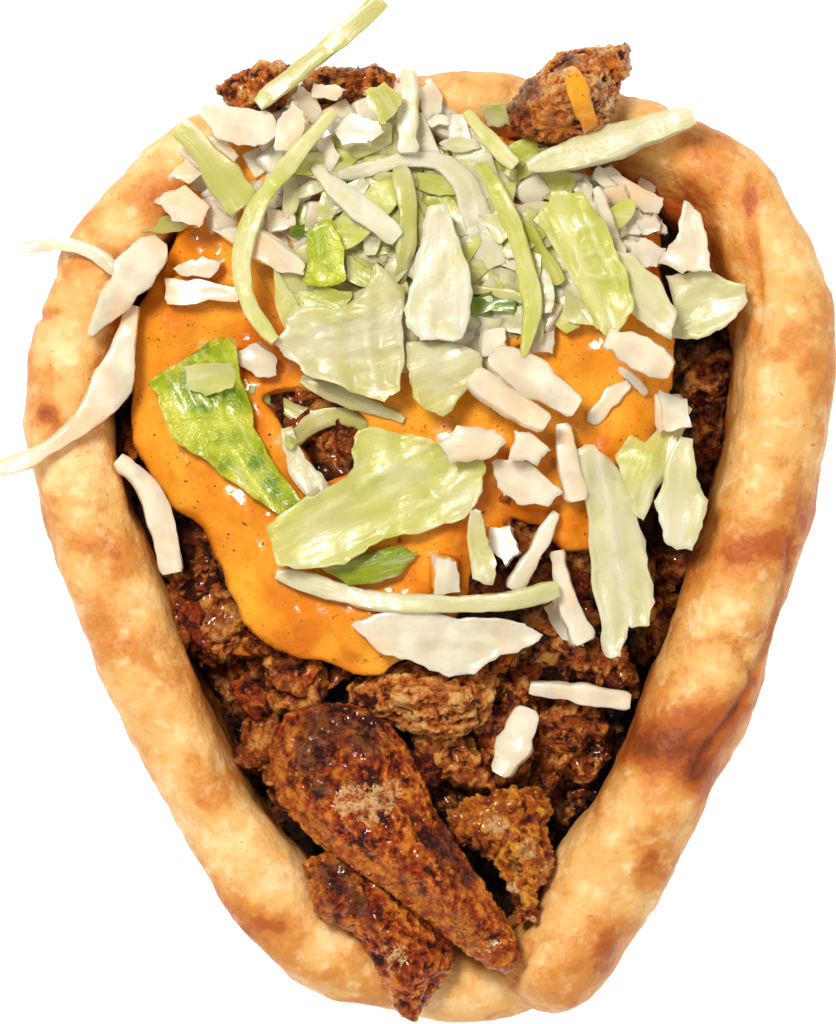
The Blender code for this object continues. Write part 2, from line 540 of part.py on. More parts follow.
def edge_distance(x, y, rim, ahead):
    """Distance from a point to an outline, negative outside it."""
    a = rim - (x, y)
    b = ahead - (x, y)
    side = b - a
    share = np.clip(-(a * side).sum(axis=1) / np.maximum((side * side).sum(axis=1), 1e-9), 0, 1)
    nearest = np.linalg.norm(a + side * share[:, None], axis=1).min()
    crosses = (a[:, 1] > 0) != (b[:, 1] > 0)
    hits = a[:, 0] - a[:, 1] * side[:, 0] / np.where(side[:, 1] == 0, 1e-9, side[:, 1]) > 0
    return nearest if (crosses & hits).sum() % 2 else -nearest


def slab(flat, triangles, upper, lower):
    """A closed solid between two heights over a triangulated outline, both faces split alike."""
    count = len(flat)
    points = [(x, y, z) for (x, y), z in zip(flat, upper)] + [(x, y, z) for (x, y), z in zip(flat, lower)]
    faces, sides = [], {}
    for a, b, c in triangles:
        faces.append((a, b, c))
        faces.append((c + count, b + count, a + count))
        for p, q in ((a, b), (b, c), (c, a)):
            if sides.pop((q, p), None) is None:
                sides[(p, q)] = True
    for p, q in sides:
        faces.append((q, p, p + count))
        faces.append((q, p + count, q + count))
    return points, faces


def neighbours(triangles, count):
    linked = [set() for _ in range(count)]
    for a, b, c in triangles:
        linked[a] |= {b, c}
        linked[b] |= {a, c}
        linked[c] |= {a, b}
    return [list(s) for s in linked]


class Ground:
    """What is already there, for laying the next piece on it."""

    def __init__(self, objects):
        points, faces = [], []
        for item in objects:
            offset = len(points)
            points.extend(item.data.vertices[i].co / MM for i in range(len(item.data.vertices)))
            faces.extend([i + offset for i in polygon.vertices] for polygon in item.data.polygons)
        self.tree = BVHTree.FromPolygons(points, faces)

    def height(self, x, y, around=0.0):
        """Highest surface at a place, or within a radius of it; None where nothing is below."""
        places = [(x, y)]
        if around:
            turns = np.linspace(0, 2 * np.pi, AROUND_STEPS, endpoint=False)
            places += [(x + around * np.cos(a), y + around * np.sin(a)) for a in turns]
        hits = [self.tree.ray_cast(Vector((*p, FAR_UP)), Vector((0, 0, -1)))[0] for p in places]
        found = [hit.z for hit in hits if hit is not None]
        return max(found) if found else None


def lie_flat(ground, flat, linked, around, sag):
    """Heights of a soft sheet on the ground: it touches the high spots and spans what is between."""
    floor = [ground.height(x, y, around) for x, y in flat]
    known = [z for z in floor if z is not None]
    least = np.array([FAR_DOWN if z is None else z for z in floor])
    z = np.array([max(known) if f is None else f for f in floor])
    for _ in range(SHEET_ROUNDS):
        middle = np.array([z[near].mean() for near in linked])
        z = np.maximum(least, middle - sag)
    return z


def lie_stiff(ground, line, around, sag):
    """Heights of a stiff strip that lies on the ground and may stick out past it."""
    floor = [ground.height(x, y, around) for x, y in line]
    least = np.array([FAR_DOWN if z is None else z for z in floor])
    z = np.where(least < 0, max(least), least)
    for _ in range(STRIP_ROUNDS):
        z[1:-1] = np.maximum(least[1:-1], (z[:-2] + z[2:]) / 2 - sag)
        for end, near, next_in in ((0, 1, 2), (-1, -2, -3)):
            z[end] = max(least[end], z[near] + TIP_SLOPE * (z[near] - z[next_in]) - sag)
    return z


def raised_clear(heights, shape, column, ground):
    """Heights of a laid piece, raised where it would cut into what is below."""
    heights = np.array(heights, float)
    for _ in range(RAISE_TRIES):
        points, faces = shape(heights)
        crossing = BVHTree.FromPolygons(points, faces).overlap(ground.tree)
        if not crossing:
            break
        for place in {column(v) for face, _ in crossing for v in faces[face]}:
            heights[place] += RAISE_STEP
    return heights


def strip_rings(rows, heights, thickness):
    """Six-sided rings of a strip whose underside lies at the given heights."""
    line = np.column_stack([rows[:, 0], rows[:, 1]])
    along = np.gradient(line, axis=0)
    along /= np.linalg.norm(along, axis=1)[:, None]
    across = np.column_stack([-along[:, 1], along[:, 0]])
    rings = []
    for (x, y), side, width, z in zip(line, across, rows[:, 2], heights):
        half, top, mid = width / 2, thickness, thickness / 2
        quarter = half / 2
        section = [(-half, mid), (-quarter, top), (quarter, top), (half, mid), (quarter, 0), (-quarter, 0)]
        rings.append([(x + side[0] * u, y + side[1] * u, z + v) for u, v in section])
    return rings


def strip_path(rows):
    length = np.linalg.norm(np.diff(np.array(rows)[:, :2], axis=0), axis=1).sum()
    return smooth_path(rows, max(5, int(length / STRIP_STEP)))


def make_strip(name, thickness, sag, rows, ground, collection, look):
    path = strip_path(rows)

    def shape(heights):
        return swept_rings(strip_rings(path, heights, thickness), closed=False)

    heights = lie_stiff(ground, path[:, :2], path[:, 2].max() / 4, sag)
    heights = raised_clear(heights, shape, lambda v: v // 6, ground) + SEAT_GAP
    points, faces = shape(heights)
    made = make_object(name, points, faces, collection, look)
    face_outwards(made)
    return made


def laid_slab(flat, triangles, thickness, extra, ground):
    """Points and faces of a sheet laid on the ground, with its thickness at each point and its lift."""
    z = lie_flat(ground, flat, neighbours(triangles, len(flat)), SHEET_REACH, SHEET_SAG) + extra

    def shape(heights):
        return slab(flat, triangles, heights + thickness, heights)

    z = raised_clear(z, shape, lambda v: v % len(flat), ground) + SEAT_GAP
    return shape(z)


def make_leaf(name, thickness, outline, ground, collection, look):
    flat, triangles, _ = sheet_grid(outline, LEAF_GRID)
    wave = np.array([LEAF_WAVE * (0.5 + rough(x, y, 6.0, 0.5)) for x, y in flat])
    points, faces = laid_slab(flat, triangles, thickness, wave, ground)
    made = make_object(name, points, faces, collection, look)
    face_outwards(made)
    return made


def make_slice(name, thickness, swell, outline, lift, ground, collection, look):
    """A shaved piece of meat, thick in the middle, lying on what is below."""
    flat, triangles, rim = sheet_grid(outline, SLICE_GRID, SLICE_EDGE)
    ahead = np.roll(rim, -1, axis=0)
    bulge = np.array([ease(-0.5, 5, max(edge_distance(x, y, rim, ahead), 0)) for x, y in flat])
    grain = np.array([rough(x, y, 4.0, 2.0) for x, y in flat])
    depth = 0.45 * thickness + (0.55 * thickness + swell + grain) * bulge
    points, faces = laid_slab(flat, triangles, depth, lift, ground)
    made = make_object(name, points, faces, collection, look)
    face_outwards(made)
    return made


def join_pieces(target, pieces):
    """One Boolean union of a heap's core with the pieces that lie on it."""
    group = bpy.data.collections.new(target.name + "_pieces")
    bpy.context.scene.collection.children.link(group)
    for piece in pieces:
        for owner in list(piece.users_collection):
            owner.objects.unlink(piece)
        group.objects.link(piece)
    union = target.modifiers.new("joined", "BOOLEAN")
    union.operation = "UNION"
    union.operand_type = "COLLECTION"
    union.collection = group
    union.solver = "MANIFOLD"
    settle_mesh(target)
    for piece in list(group.objects):
        bpy.data.objects.remove(piece)
    bpy.data.collections.remove(group)
    keep_largest(target)


def merge_flat_faces(target):
    """Joins faces that lie in one plane and splits them into triangles again."""
    shape = bmesh.new()
    shape.from_mesh(target.data)
    bmesh.ops.dissolve_limit(shape, angle_limit=FLAT_ANGLE, verts=shape.verts, edges=shape.edges)
    bmesh.ops.triangulate(shape, faces=shape.faces)
    shape.to_mesh(target.data)
    shape.free()


def cut_clear(target, others):
    """Cuts the target back to a small gap from its neighbours."""
    for other in others:
        cutter = bpy.data.objects.new("cutter", other.data.copy())
        bpy.context.scene.collection.objects.link(cutter)
        grown = cutter.data
        normals = [v.normal.copy() for v in grown.vertices]
        for vertex, normal in zip(grown.vertices, normals):
            vertex.co += normal * SEAT_GAP * MM
        cut = target.modifiers.new("clear", "BOOLEAN")
        cut.operation = "DIFFERENCE"
        cut.object = cutter
        cut.solver = "MANIFOLD"
        settle_mesh(target)
        bpy.data.objects.remove(cutter)
        keep_largest(target)


def chunk_between(name, outline, upper, lower, collection):
    """A faceted lump between two heights, for fusing to a heap."""
    flat, triangles, _ = sheet_grid(outline, LEAF_GRID)
    points, faces = slab(flat, triangles, [upper(x, y) for x, y in flat], [lower(x, y) for x, y in flat])
    made = make_object(name, points, faces, collection, None)
    face_outwards(made)
    return made


def make_meat_heap(bread, collection, look):
    core = make_meat_core(collection, look)
    lumps = []
    for rise, thickness, outline in HEAP_MEAT:
        lumps.append(chunk_between(
            "lump", outline,
            lambda x, y: heap_height(x, y) + rise + rough(x, y, 3.5, 2.0),
            lambda x, y: heap_height(x, y) + rise - thickness - 4,
            collection,
        ))
    join_pieces(core, lumps)
    cut_clear(core, [bread])
    return core


def make_sauce(ground, collection, look):
    """Thick sauce that lies over the meat, with a rounded edge, and parts in one place over the meat."""
    flat, triangles, rim = sheet_grid(SAUCE_EDGE, SAUCE_GRID, SAUCE_ROUND / 3)
    ahead = np.roll(rim, -1, axis=0)
    inside = [edge_distance(x, y, rim, ahead) for x, y in flat]
    bulge = ease(-SAUCE_ROUND / 3, SAUCE_ROUND, np.array(inside))
    depth = SAUCE_THICKNESS * np.maximum(bulge, 0.25)
    points, faces = laid_slab(flat, triangles, depth, 0, ground)
    sauce = make_object("sauce", points, faces, collection, look)
    face_outwards(sauce)
    parting = chunk_between("parting", SAUCE_SLOT, lambda x, y: FAR_UP / 3, lambda x, y: 0, collection)
    cut_clear(sauce, [parting])
    bpy.data.objects.remove(parting)
    top = Ground([sauce])
    bits = []
    for outline in SAUCE_BITS:
        bits.append(chunk_between(
            "bit", outline,
            lambda x, y: (top.height(x, y, 1.5) or HEAP_TOP) + 2.2,
            lambda x, y: (top.height(x, y) or HEAP_TOP) - 1.5,
            collection,
        ))
    join_pieces(sauce, bits)
    return sauce


def dice_outlines():
    """Outlines of small onion dice scattered over the heap's core, no two on one spot."""
    chance = np.random.default_rng(SALAD_SEED)
    rim = np.array(SALAD_EDGE, float)
    ahead = np.roll(rim, -1, axis=0)
    low, high = rim.min(axis=0), rim.max(axis=0)
    placed, outlines = [], []
    while len(placed) < DICE_COUNT:
        x, y = chance.uniform(low, high)
        if edge_distance(x, y, rim, ahead) < 1.5:
            continue
        if any(np.hypot(x - a, y - b) < DICE_APART for a, b in placed):
            continue
        placed.append((x, y))
        turn = chance.uniform(0, np.pi)
        wide, deep = chance.uniform(*DICE_SIZE, 2) / 2
        box = [(-wide, -deep), (wide, -deep), (wide, deep), (-wide, deep)]
        corners = chance.uniform(0.8, 1.1, 4)[:, None] * box
        spin = np.array([(np.cos(turn), np.sin(turn)), (-np.sin(turn), np.cos(turn))])
        thickness, tilt = chance.uniform(*DICE_THICK), chance.uniform(-TILT_MOST, TILT_MOST, 2)
        outlines.append((thickness, corners @ spin + (x, y), tilt))
    return outlines


def make_salad_heap(below, collection, look):
    """Onion dice and cabbage pieces laid one on the other over a thin core, and fused."""
    flat, triangles, _ = sheet_grid(SALAD_EDGE, SALAD_GRID, SALAD_INSET)
    points, faces = laid_slab(flat, triangles, SALAD_CORE, 0, Ground(below))
    heap = make_object("salad_heap", points, faces, collection, look)
    face_outwards(heap)
    pieces = []

    def lay_chunk(thickness, outline, tilt):
        ground = Ground([*below, heap, *pieces])
        centre = np.mean(outline, axis=0)
        flat, triangles, _ = sheet_grid(outline, LEAF_GRID * 2)
        rest = ground.height(*centre, 1.5) or HEAP_TOP
        bottom = rest - SINK - CHUNK_ROOT
        upper = [rest + thickness - SINK + tilt @ (p - centre) for p in flat]
        made = make_object("chunk", *slab(flat, triangles, upper, [bottom] * len(flat)), collection, None)
        face_outwards(made)
        pieces.append(made)

    chance = np.random.default_rng(SALAD_SEED)
    for thickness, outline, tilt in dice_outlines():
        lay_chunk(thickness, outline, tilt)
    for thickness, outline in SALAD_CHUNKS:
        lay_chunk(thickness, np.array(outline, float), chance.uniform(-TILT_MOST, TILT_MOST, 2))
    for thickness, rows in SALAD_STRIPS:
        path = strip_path(rows)
        ground = Ground([*below, heap, *pieces])
        heights = lie_stiff(ground, path[:, :2], path[:, 2].max() / 4, 0.03) - SINK
        made = make_object(
            "shred", *swept_rings(strip_rings(path, heights, thickness), closed=False), collection, None)
        face_outwards(made)
        pieces.append(made)
    join_pieces(heap, pieces)
    cut_clear(heap, below)
    merge_flat_faces(heap)
    return heap


def build():
    for item in list(bpy.data.objects):
        bpy.data.objects.remove(item)
    sandwich = bpy.data.collections.new("doner_kebab_sandwich")
    bpy.context.scene.collection.children.link(sandwich)
    bread_look = material("flatbread", (0.80, 0.55, 0.30), 0.65)
    meat_look = material("meat", (0.24, 0.09, 0.035), 0.45)
    sauce_look = material("sauce", (0.86, 0.33, 0.05), 0.25)
    cabbage_look = material("cabbage", (0.80, 0.84, 0.58), 0.35)
    green_look = material("green_leaf", (0.36, 0.55, 0.08), 0.4)
    onion_look = material("onion", (0.88, 0.85, 0.76), 0.3)

    bread = make_bread(sandwich, bread_look)
    laid = [bread, make_meat_heap(bread, sandwich, meat_look)]
    back = ("meat_piece_back", "meat_chunk_back_left", "meat_chunk_back")
    for name in ("meat_slice_low", "meat_chunk_middle", "meat_fatty_piece", "meat_slice_long"):
        thickness, swell, outline = MEAT_SLICES[name]
        laid.append(make_slice(name, thickness, swell, outline, 0, Ground(laid), sandwich, meat_look))
    laid.append(make_sauce(Ground(laid), sandwich, sauce_look))
    for name in back:
        thickness, swell, outline = MEAT_SLICES[name]
        lift = BACK_LIFT.get(name, 0)
        laid.append(make_slice(name, thickness, swell, outline, lift, Ground(laid), sandwich, meat_look))
    laid.append(make_salad_heap(list(laid), sandwich, cabbage_look))
    for name, (thickness, outline) in LOOSE_LEAVES.items():
        look = onion_look if "onion" in name else green_look if "green" in name else cabbage_look
        laid.append(make_leaf(name, thickness, outline, Ground(laid), sandwich, look))
    for name, (thickness, sag, rows) in LOOSE_STRIPS.items():
        look = onion_look if "onion" in name else cabbage_look
        laid.append(make_strip(name, thickness, sag, rows, Ground(laid), sandwich, look))


build()
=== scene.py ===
"""The finish of the doner kebab sandwich: baked flatbread, browned meat, glossy sauce, cabbage and onion.

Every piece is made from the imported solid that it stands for, or is laid on it, so it keeps that solid's place and
form. Tables are in millimetres, seen from above; meshes are in metres."""

import json
import math

import bmesh
import bpy
import numpy as np
from mathutils import Matrix, Vector, noise
from mathutils.bvhtree import BVHTree

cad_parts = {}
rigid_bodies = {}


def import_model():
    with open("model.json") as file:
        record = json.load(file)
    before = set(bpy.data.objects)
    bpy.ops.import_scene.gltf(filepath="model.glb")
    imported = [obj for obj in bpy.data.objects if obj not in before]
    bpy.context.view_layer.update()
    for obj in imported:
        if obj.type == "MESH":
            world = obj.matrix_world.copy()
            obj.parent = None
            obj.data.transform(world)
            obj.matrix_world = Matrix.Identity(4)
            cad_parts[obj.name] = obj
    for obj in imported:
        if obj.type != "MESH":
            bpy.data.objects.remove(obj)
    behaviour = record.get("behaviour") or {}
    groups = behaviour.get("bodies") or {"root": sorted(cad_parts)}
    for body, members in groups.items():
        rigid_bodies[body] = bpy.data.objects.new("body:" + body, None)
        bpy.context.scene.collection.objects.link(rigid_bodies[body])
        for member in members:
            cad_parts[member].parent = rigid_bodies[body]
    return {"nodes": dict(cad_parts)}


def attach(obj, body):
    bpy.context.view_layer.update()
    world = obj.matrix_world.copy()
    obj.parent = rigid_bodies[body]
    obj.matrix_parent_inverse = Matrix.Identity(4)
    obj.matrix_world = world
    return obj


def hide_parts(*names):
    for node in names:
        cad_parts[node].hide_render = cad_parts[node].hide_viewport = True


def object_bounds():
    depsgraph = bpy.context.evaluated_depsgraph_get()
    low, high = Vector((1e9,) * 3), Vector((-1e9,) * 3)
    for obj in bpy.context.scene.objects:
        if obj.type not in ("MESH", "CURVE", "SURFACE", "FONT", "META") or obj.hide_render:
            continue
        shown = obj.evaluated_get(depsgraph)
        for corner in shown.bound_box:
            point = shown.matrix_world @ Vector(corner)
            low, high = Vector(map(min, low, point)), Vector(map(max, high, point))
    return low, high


MM = 0.001
# Rays that look for a surface start this far above or below the floor, in metres.
FAR = 0.3

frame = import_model()
cad_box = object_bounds()

# Camera and picture: the sandwich is seen from straight above, and the picture's size holds at one height.
PICTURE_HEIGHT = 184.3
PICTURE_PLANE = 50.0
CAMERA_ABOVE = 1600.0
SENSOR = 36.0
# Lamps: place, size, power, tint.
LAMPS = {
    "key": ((-0.26, 0.34, 0.95), 0.22, 9.2, (1.0, 0.97, 0.92)),
    "fill": ((0.60, -0.05, 0.80), 0.60, 2.2, (1.0, 0.98, 0.95)),
    "front": ((-0.25, -0.60, 0.70), 0.50, 1.6, (1.0, 1.0, 1.0)),
}
LAMPS_AIM = (0, 0, 0.04)
SKY = 0.26
FLOOR_GLOW = 0.6
FLOOR_REACH = 1.5

# Even skins that the solids are given first: step, and rounds of evening out.
BREAD_SKIN = (1.15, 14)
HEAP_SKIN = (0.9, 5)
MEAT_SKIN = (0.45, 5)
SAUCE_SKIN = (0.8, 16)

# Toasted places on the bread: x, y, reach and strength. The broad ones at (50, 58) and (56, 46), on the wall inside the
# pocket, are painted shade.
TOAST = [
    (48, -40, 9, 0.75), (41, -42, 6, 0.6), (52, -47, 5, 0.5), (58, -36, 6, 0.4), (57, -7, 7, 0.6), (65, -6, 5, 0.5),
    (46, -12, 6, 0.3), (60, 56, 2.4, 0.5), (52, 67, 5, 0.6), (72, 18, 8, 0.35), (66, 32, 7, 0.3), (70, 2, 6, 0.35),
    (50, 58, 8, 0.3), (56, 46, 8, 0.3), (-67, 18, 2.4, 0.5), (-66, 24, 4, 0.25), (-54, -8, 5, 0.45),
    (-47, -28, 9, 0.3), (-38, -50, 5, 0.55), (-29, -75, 5, 0.5), (-57, -22, 6, 0.3), (43, -63, 6, 0.5),
    (33, -79, 7, 0.6), (24, -86, 6, 0.35), (-47, 57, 4, 0.55), (-60, 45, 7, 0.3), (-25, -84, 7, 0.35),
    (-8, -87, 7, 0.3), (60, -22, 5, 0.35), (38, -52, 5, 0.2), (0, 78, 10, 0.25), (28, 77, 8, 0.3),
    (-44, -62, 5, 0.35), (-64, -2, 6, 0.3), (-35, -70, 5, 0.3),
]
# How much painted shade darkens the wall inside the pocket, and the pocket's middle line: its x, and from and to which
# y.
POCKET_SHADE = 0.45
POCKET_X = 4.0
POCKET_Y = (-60, 45)
# Creases of the bread: depth, half width, points.
CREASES = [
    (0.9, 0.8, [(67, -5), (66.5, -13), (63, -24), (60, -31), (55.5, -38), (51.5, -43), (49.5, -49)]),
    (1.0, 0.6, [(-68, 35), (-65, 36), (-61, 35.5)]),
    (0.8, 0.9, [(60, 60), (59.4, 53), (60.4, 46), (61, 39), (60, 30)]),
    (0.7, 0.8, [(55, -22), (59, -27), (61, -31)]),
    (0.6, 1.2, [(-66, 17), (-64, 14), (-66, 10)]),
    (0.6, 0.7, [(16, -90), (17.5, -84), (20, -78)]),
    (0.5, 0.7, [(36, 70), (38, 76), (39, 80)]),
]

# Meat: relief, direction of its fibres, finish; the heap's relief has no direction.
HEAP_RELIEF = 1.5
MEATS = {
    "meat_slice_low": (0.75, (0.6, -0.8), "meat_seared"),
    "meat_chunk_middle": (1.0, (1.0, 0.1), "meat_grainy"),
    "meat_fatty_piece": (1.5, (0.7, -0.7), "meat_fatty"),
    "meat_slice_long": (0.6, (0.65, -0.76), "meat_seared"),
    "meat_piece_back": (1.0, (1.0, 0.0), "meat_grainy"),
    "meat_chunk_back_left": (1.2, (1.0, 0.3), "meat_grainy"),
    "meat_chunk_back": (1.0, (0.9, 0.4), "meat_grainy"),
}
# Marks on pieces of meat: pale spots, purple-brown or charred spots (x, y, reach), and the line of an amber edge.
MARKS = {
    "meat_slice_long": (
        [(-12.5, -51.5, 3.4), (-8, -53.5, 3.2), (-5, -50, 2.4), (13, -78, 1.8)],
        [(-16, -38, 5), (-19, -44, 3.6), (-9, -41, 3), (-17, -50, 2.2), (5, -60, 3.2), (9, -66, 2.4)],
        [(-26, -44), (-25.5, -50), (-21, -57), (-14.5, -61.5), (-6.5, -66), (3, -72), (10, -78), (16, -83)],
    ),
    "meat_slice_low": (
        [(-4, -80, 2.6)],
        [(-15, -66, 3.6), (-11, -71, 2.6)],
        [(-22, -66), (-16, -76), (-8, -86), (-4, -91)],
    ),
    "meat_chunk_back": (
        [(33.5, 74.5, 3.0), (35.5, 71, 2.4)],
        [(17, 72, 2.6), (20, 76, 2.4), (27, 80.5, 2.0)],
        [(22, 71), (25, 69)],
    ),
    "meat_fatty_piece": (
        [(14, -57, 2.2), (20, -61, 2.0), (21, -75, 2.4), (17, -68, 1.6)],
        [(11, -62, 2.6), (17, -64, 1.4)],
        [(8, -56), (12, -54.5)],
    ),
}
AMBER_REACH = 3.2

# Where painted shade darkens the hollows of the meat and the inside of the bread's pocket: step and evening of the
# height map, then from and to which depth.
ROOF_STEP = 1.0
ROOF_ROUNDS = 14
HOLLOW_FROM = 0.8
HOLLOW_TO = 6.0

# Shreds that are solids of their own: thickness, finish, rows of x, y and width.
SHREDS = {
    "onion_slice_low": (2.6, "onion", [(20, -35.5, 4), (17.5, -42, 6.5), (14.8, -47.5, 3.6)]),
    "strip_right_low": (2.4, "onion", [(20.3, -31.8, 2.4), (27, -32.5, 3.4), (38.5, -34.5, 3.2)]),
    "strip_right_upright": (2.2, "onion", [(25.2, -7, 2.6), (26.5, -15, 3.6), (30, -23.5, 5)]),
    "strip_centre_slant": (1.8, "onion", [(25, 0, 2), (21.5, -6.5, 3), (17, -14, 3.6)]),
    "strip_left_low": (2.2, "onion", [
        (-54, 9.5, 3.6), (-49, 4.5, 3.8), (-46, -3, 4.6), (-44.3, -11, 4.8)]),
    "strip_left_long": (2.4, "onion", [
        (-75.5, 7.5, 2.8), (-68, 10.5, 3), (-60, 16.5, 4), (-55, 23, 6.5), (-52.6, 31, 3.6), (-51, 37, 2)]),
    "strip_left_thin": (1.8, "onion", [(-71.5, 47.3, 2.4), (-64, 48, 2.4), (-58, 46.5, 2.6), (-54, 43, 2.2)]),
    "cabbage_rib_left": (3.2, "onion", [(-59, 32, 1.6), (-54, 38.5, 6.5), (-50, 44, 8), (-46.5, 48, 4)]),
    "strip_bottom": (2.0, "cabbage_white", [
        (-25.5, -11, 2.6), (-17, -13.5, 4), (-8, -16, 3.4), (4, -16.6, 3), (16, -16, 3.2), (25, -13.8, 3.8)]),
    "strip_centre_upright": (2.8, "onion", [(26, 15.5, 3.4), (27, 8.5, 4), (28.6, 2, 3.8)]),
    "rib_middle_under": (2.8, "onion", [(9.5, 24.5, 4), (15.5, 20, 5), (23, 15.5, 3.6)]),
    "rib_middle": (3.2, "onion", [(13, 28, 4.5), (20, 24, 7), (28.5, 18.7, 5)]),
    "rib_right": (3.0, "onion", [(33.5, 31, 4), (39, 28.5, 5.5), (45, 25.3, 4)]),
    "cabbage_strip_green_left": (1.4, "cabbage", [(-42.6, 69, 4), (-37, 62.8, 6), (-31, 54.5, 6.5)]),
    "strip_top_upright": (2.4, "cabbage_white", [(-1.6, 79, 3.4), (-1.8, 71, 3.6), (-1.8, 64, 3.6)]),
    "rib_right_slant": (3.0, "cabbage_white", [
        (19.5, 61.8, 2.6), (29, 64.2, 5.2), (39, 67.5, 5.4), (49.3, 70.8, 4)]),
    "strip_top": (1.8, "cabbage", [(-28.5, 72.5, 2.6), (-20, 79.5, 3.6), (-12, 86, 3.8), (-6.3, 91.3, 4)]),
    "strip_curl": (1.4, "cabbage_green", [
        (-15, 71.4, 2.4), (-20.5, 65, 3), (-27.3, 56.5, 3.2), (-31, 48, 3.2), (-31, 40, 3), (-28.5, 34, 2.8),
        (-25.5, 30.5, 2.4)]),
}
# Cut pieces keep an edge where their faces turn by more than this angle.
CRISP = 0.95
# Rim of a cut piece: how far it is torn and how far it waves, each with the distance over which that fades.
TORN, TORN_FADES = 0.32, 1.0
WAVY, WAVY_FADES = 0.55, 2.5
# Thickness at the rim, as a share, for thin and for thick pieces, and over which distance it grows.
THIN_RIM, THICK_RIM = 0.35, 0.75
THICK_FROM = 2.0
RIM_WIDTH = 1.8
# Faces of a leaf's solid that look up at least this much are its top.
TOP_FACES = 0.35
# Leaves: thickness, ripple, height of the ribs, how far the rim curls up, finish.
LEAVES = {
    "green_pepper_slice": (1.2, 0.2, 0.0, -0.4, "pepper_green"),
    "cabbage_leaf_bottom": (1.0, 0.5, 0.1, 0.5, "onion"),
    "cabbage_leaf_green": (0.7, 0.7, 0.0, 0.8, "leaf_green"),
    "cabbage_strip_hole": (1.2, 0.4, 0.1, 0.3, "cabbage"),
    "cabbage_leaf_pale": (0.9, 0.5, 0.0, 1.0, "cabbage_green"),
    "cabbage_leaf_right_long": (1.2, 0.5, 0.1, 0.6, "cabbage_white"),
    "cabbage_leaf_yellow": (0.8, 0.5, 0.1, 0.7, "cabbage_green"),
    "cabbage_rib_right": (1.6, 0.5, 0.1, 0.3, "cabbage_white"),
    "onion_slice_right": (2.0, 0.2, 0.0, -0.4, "onion"),
    "onion_petal_middle": (1.4, 0.3, 0.0, 0.6, "onion"),
    "onion_dice_centre": (3.4, 0.15, 0.0, -0.3, "onion"),
    "onion_dice_right": (3.4, 0.15, 0.0, -0.3, "onion"),
    "cabbage_leaf_curl": (0.9, 0.6, 0.1, 0.8, "cabbage"),
    "cabbage_leaf_far_right": (1.2, 0.7, 0.1, 0.7, "cabbage_white"),
    "onion_petal_right": (1.8, 0.4, 0.0, 0.3, "onion"),
    "cabbage_leaf_veiled": (0.8, 0.3, 0.0, 0.4, "cabbage_white"),
    "cabbage_leaf_ribbed": (1.0, 0.6, 0.4, 0.7, "cabbage_green"),
    "cabbage_leaf_big": (1.0, 0.9, 0.3, 0.9, "cabbage"),
    "cabbage_rib_centre_low": (1.3, 0.5, 0.2, 0.3, "cabbage"),
    "cabbage_rib_centre": (1.8, 0.6, 0.2, 0.5, "cabbage_white"),
    "cabbage_strip_bright": (1.0, 0.5, 0.1, 0.4, "leaf_green"),
}
# Folds and veins of leaves: height, half width, line.
FOLDS = {
    "cabbage_leaf_big": [
        (1.0, 1.1, [(-9.5, 39), (-9, 30), (-7.5, 22)]), (-0.7, 1.0, [(-12.6, 37), (-12.4, 28), (-11, 20)]),
        (0.6, 0.8, [(-6, 42), (-5.6, 33), (-5, 25)]), (0.5, 1.2, [(-22, 34), (-17, 29), (-14, 22)]),
    ],
    "cabbage_leaf_green": [
        (0.5, 0.6, [(-36.5, 27), (-35.5, 18), (-33, 10), (-28, 3), (-23, -0.5)]),
        (0.3, 0.4, [(-35.5, 18), (-40, 21)]), (0.3, 0.4, [(-34, 13), (-39, 13.5)]),
        (0.3, 0.4, [(-33, 10), (-29.5, 14)]), (0.3, 0.4, [(-30, 5), (-26.5, 8.5)]),
        (0.3, 0.4, [(-35.8, 21), (-32, 24)]),
    ],
    "cabbage_leaf_pale": [
        (0.5, 0.7, [(-24.5, -5), (-14.6, 1.4), (-3.6, 9.4), (5.8, 14)]),
        (0.4, 0.6, [(-20, -9), (-8, -3), (4, 3), (10, 8)]), (-0.8, 1.2, [(-4, 14), (-2, 8), (4, 2)]),
    ],
    "cabbage_leaf_ribbed": [
        (1.0, 0.9, [(25, 55), (28, 47), (31, 40), (33.5, 33)]), (0.5, 0.5, [(27, 50), (31.5, 51.5)]),
        (0.5, 0.5, [(28.6, 46), (33.5, 46.5)]), (0.5, 0.5, [(30.4, 42), (36, 42)]), (0.5, 0.5, [(31.6, 38), (36, 37)]),
        (0.4, 0.5, [(27, 49), (24.6, 46)]), (0.4, 0.5, [(29, 44), (27.4, 40)]),
    ],
    "cabbage_leaf_right_long": [
        (0.5, 0.8, [(33, 10), (35, -5), (39, -22)]), (-0.4, 0.8, [(36, 6), (38, -8), (40, -18)]),
    ],
    "cabbage_rib_centre": [(0.6, 0.9, [(3, 46), (2, 38), (1, 31)]), (-0.4, 0.8, [(5.5, 44), (5.5, 36)])],
}
# Nodes and finishes of green leaf and pepper.
GREENS = ("green_pepper_slice", "cabbage_leaf_green", "leaf_green", "pepper_green")

# Salad heap: edge of its bed, then the pieces that lie on it.
SALAD_EDGE = [
    (-25, 37), (-30, 45), (-38, 52), (-43, 58), (-39, 66), (-31, 70), (-18, 73), (-4, 75), (6, 72), (18, 66),
    (33, 60), (43, 55), (43, 44), (35, 38), (24, 33), (14, 28), (2, 26), (-10, 29), (-18, 31),
]
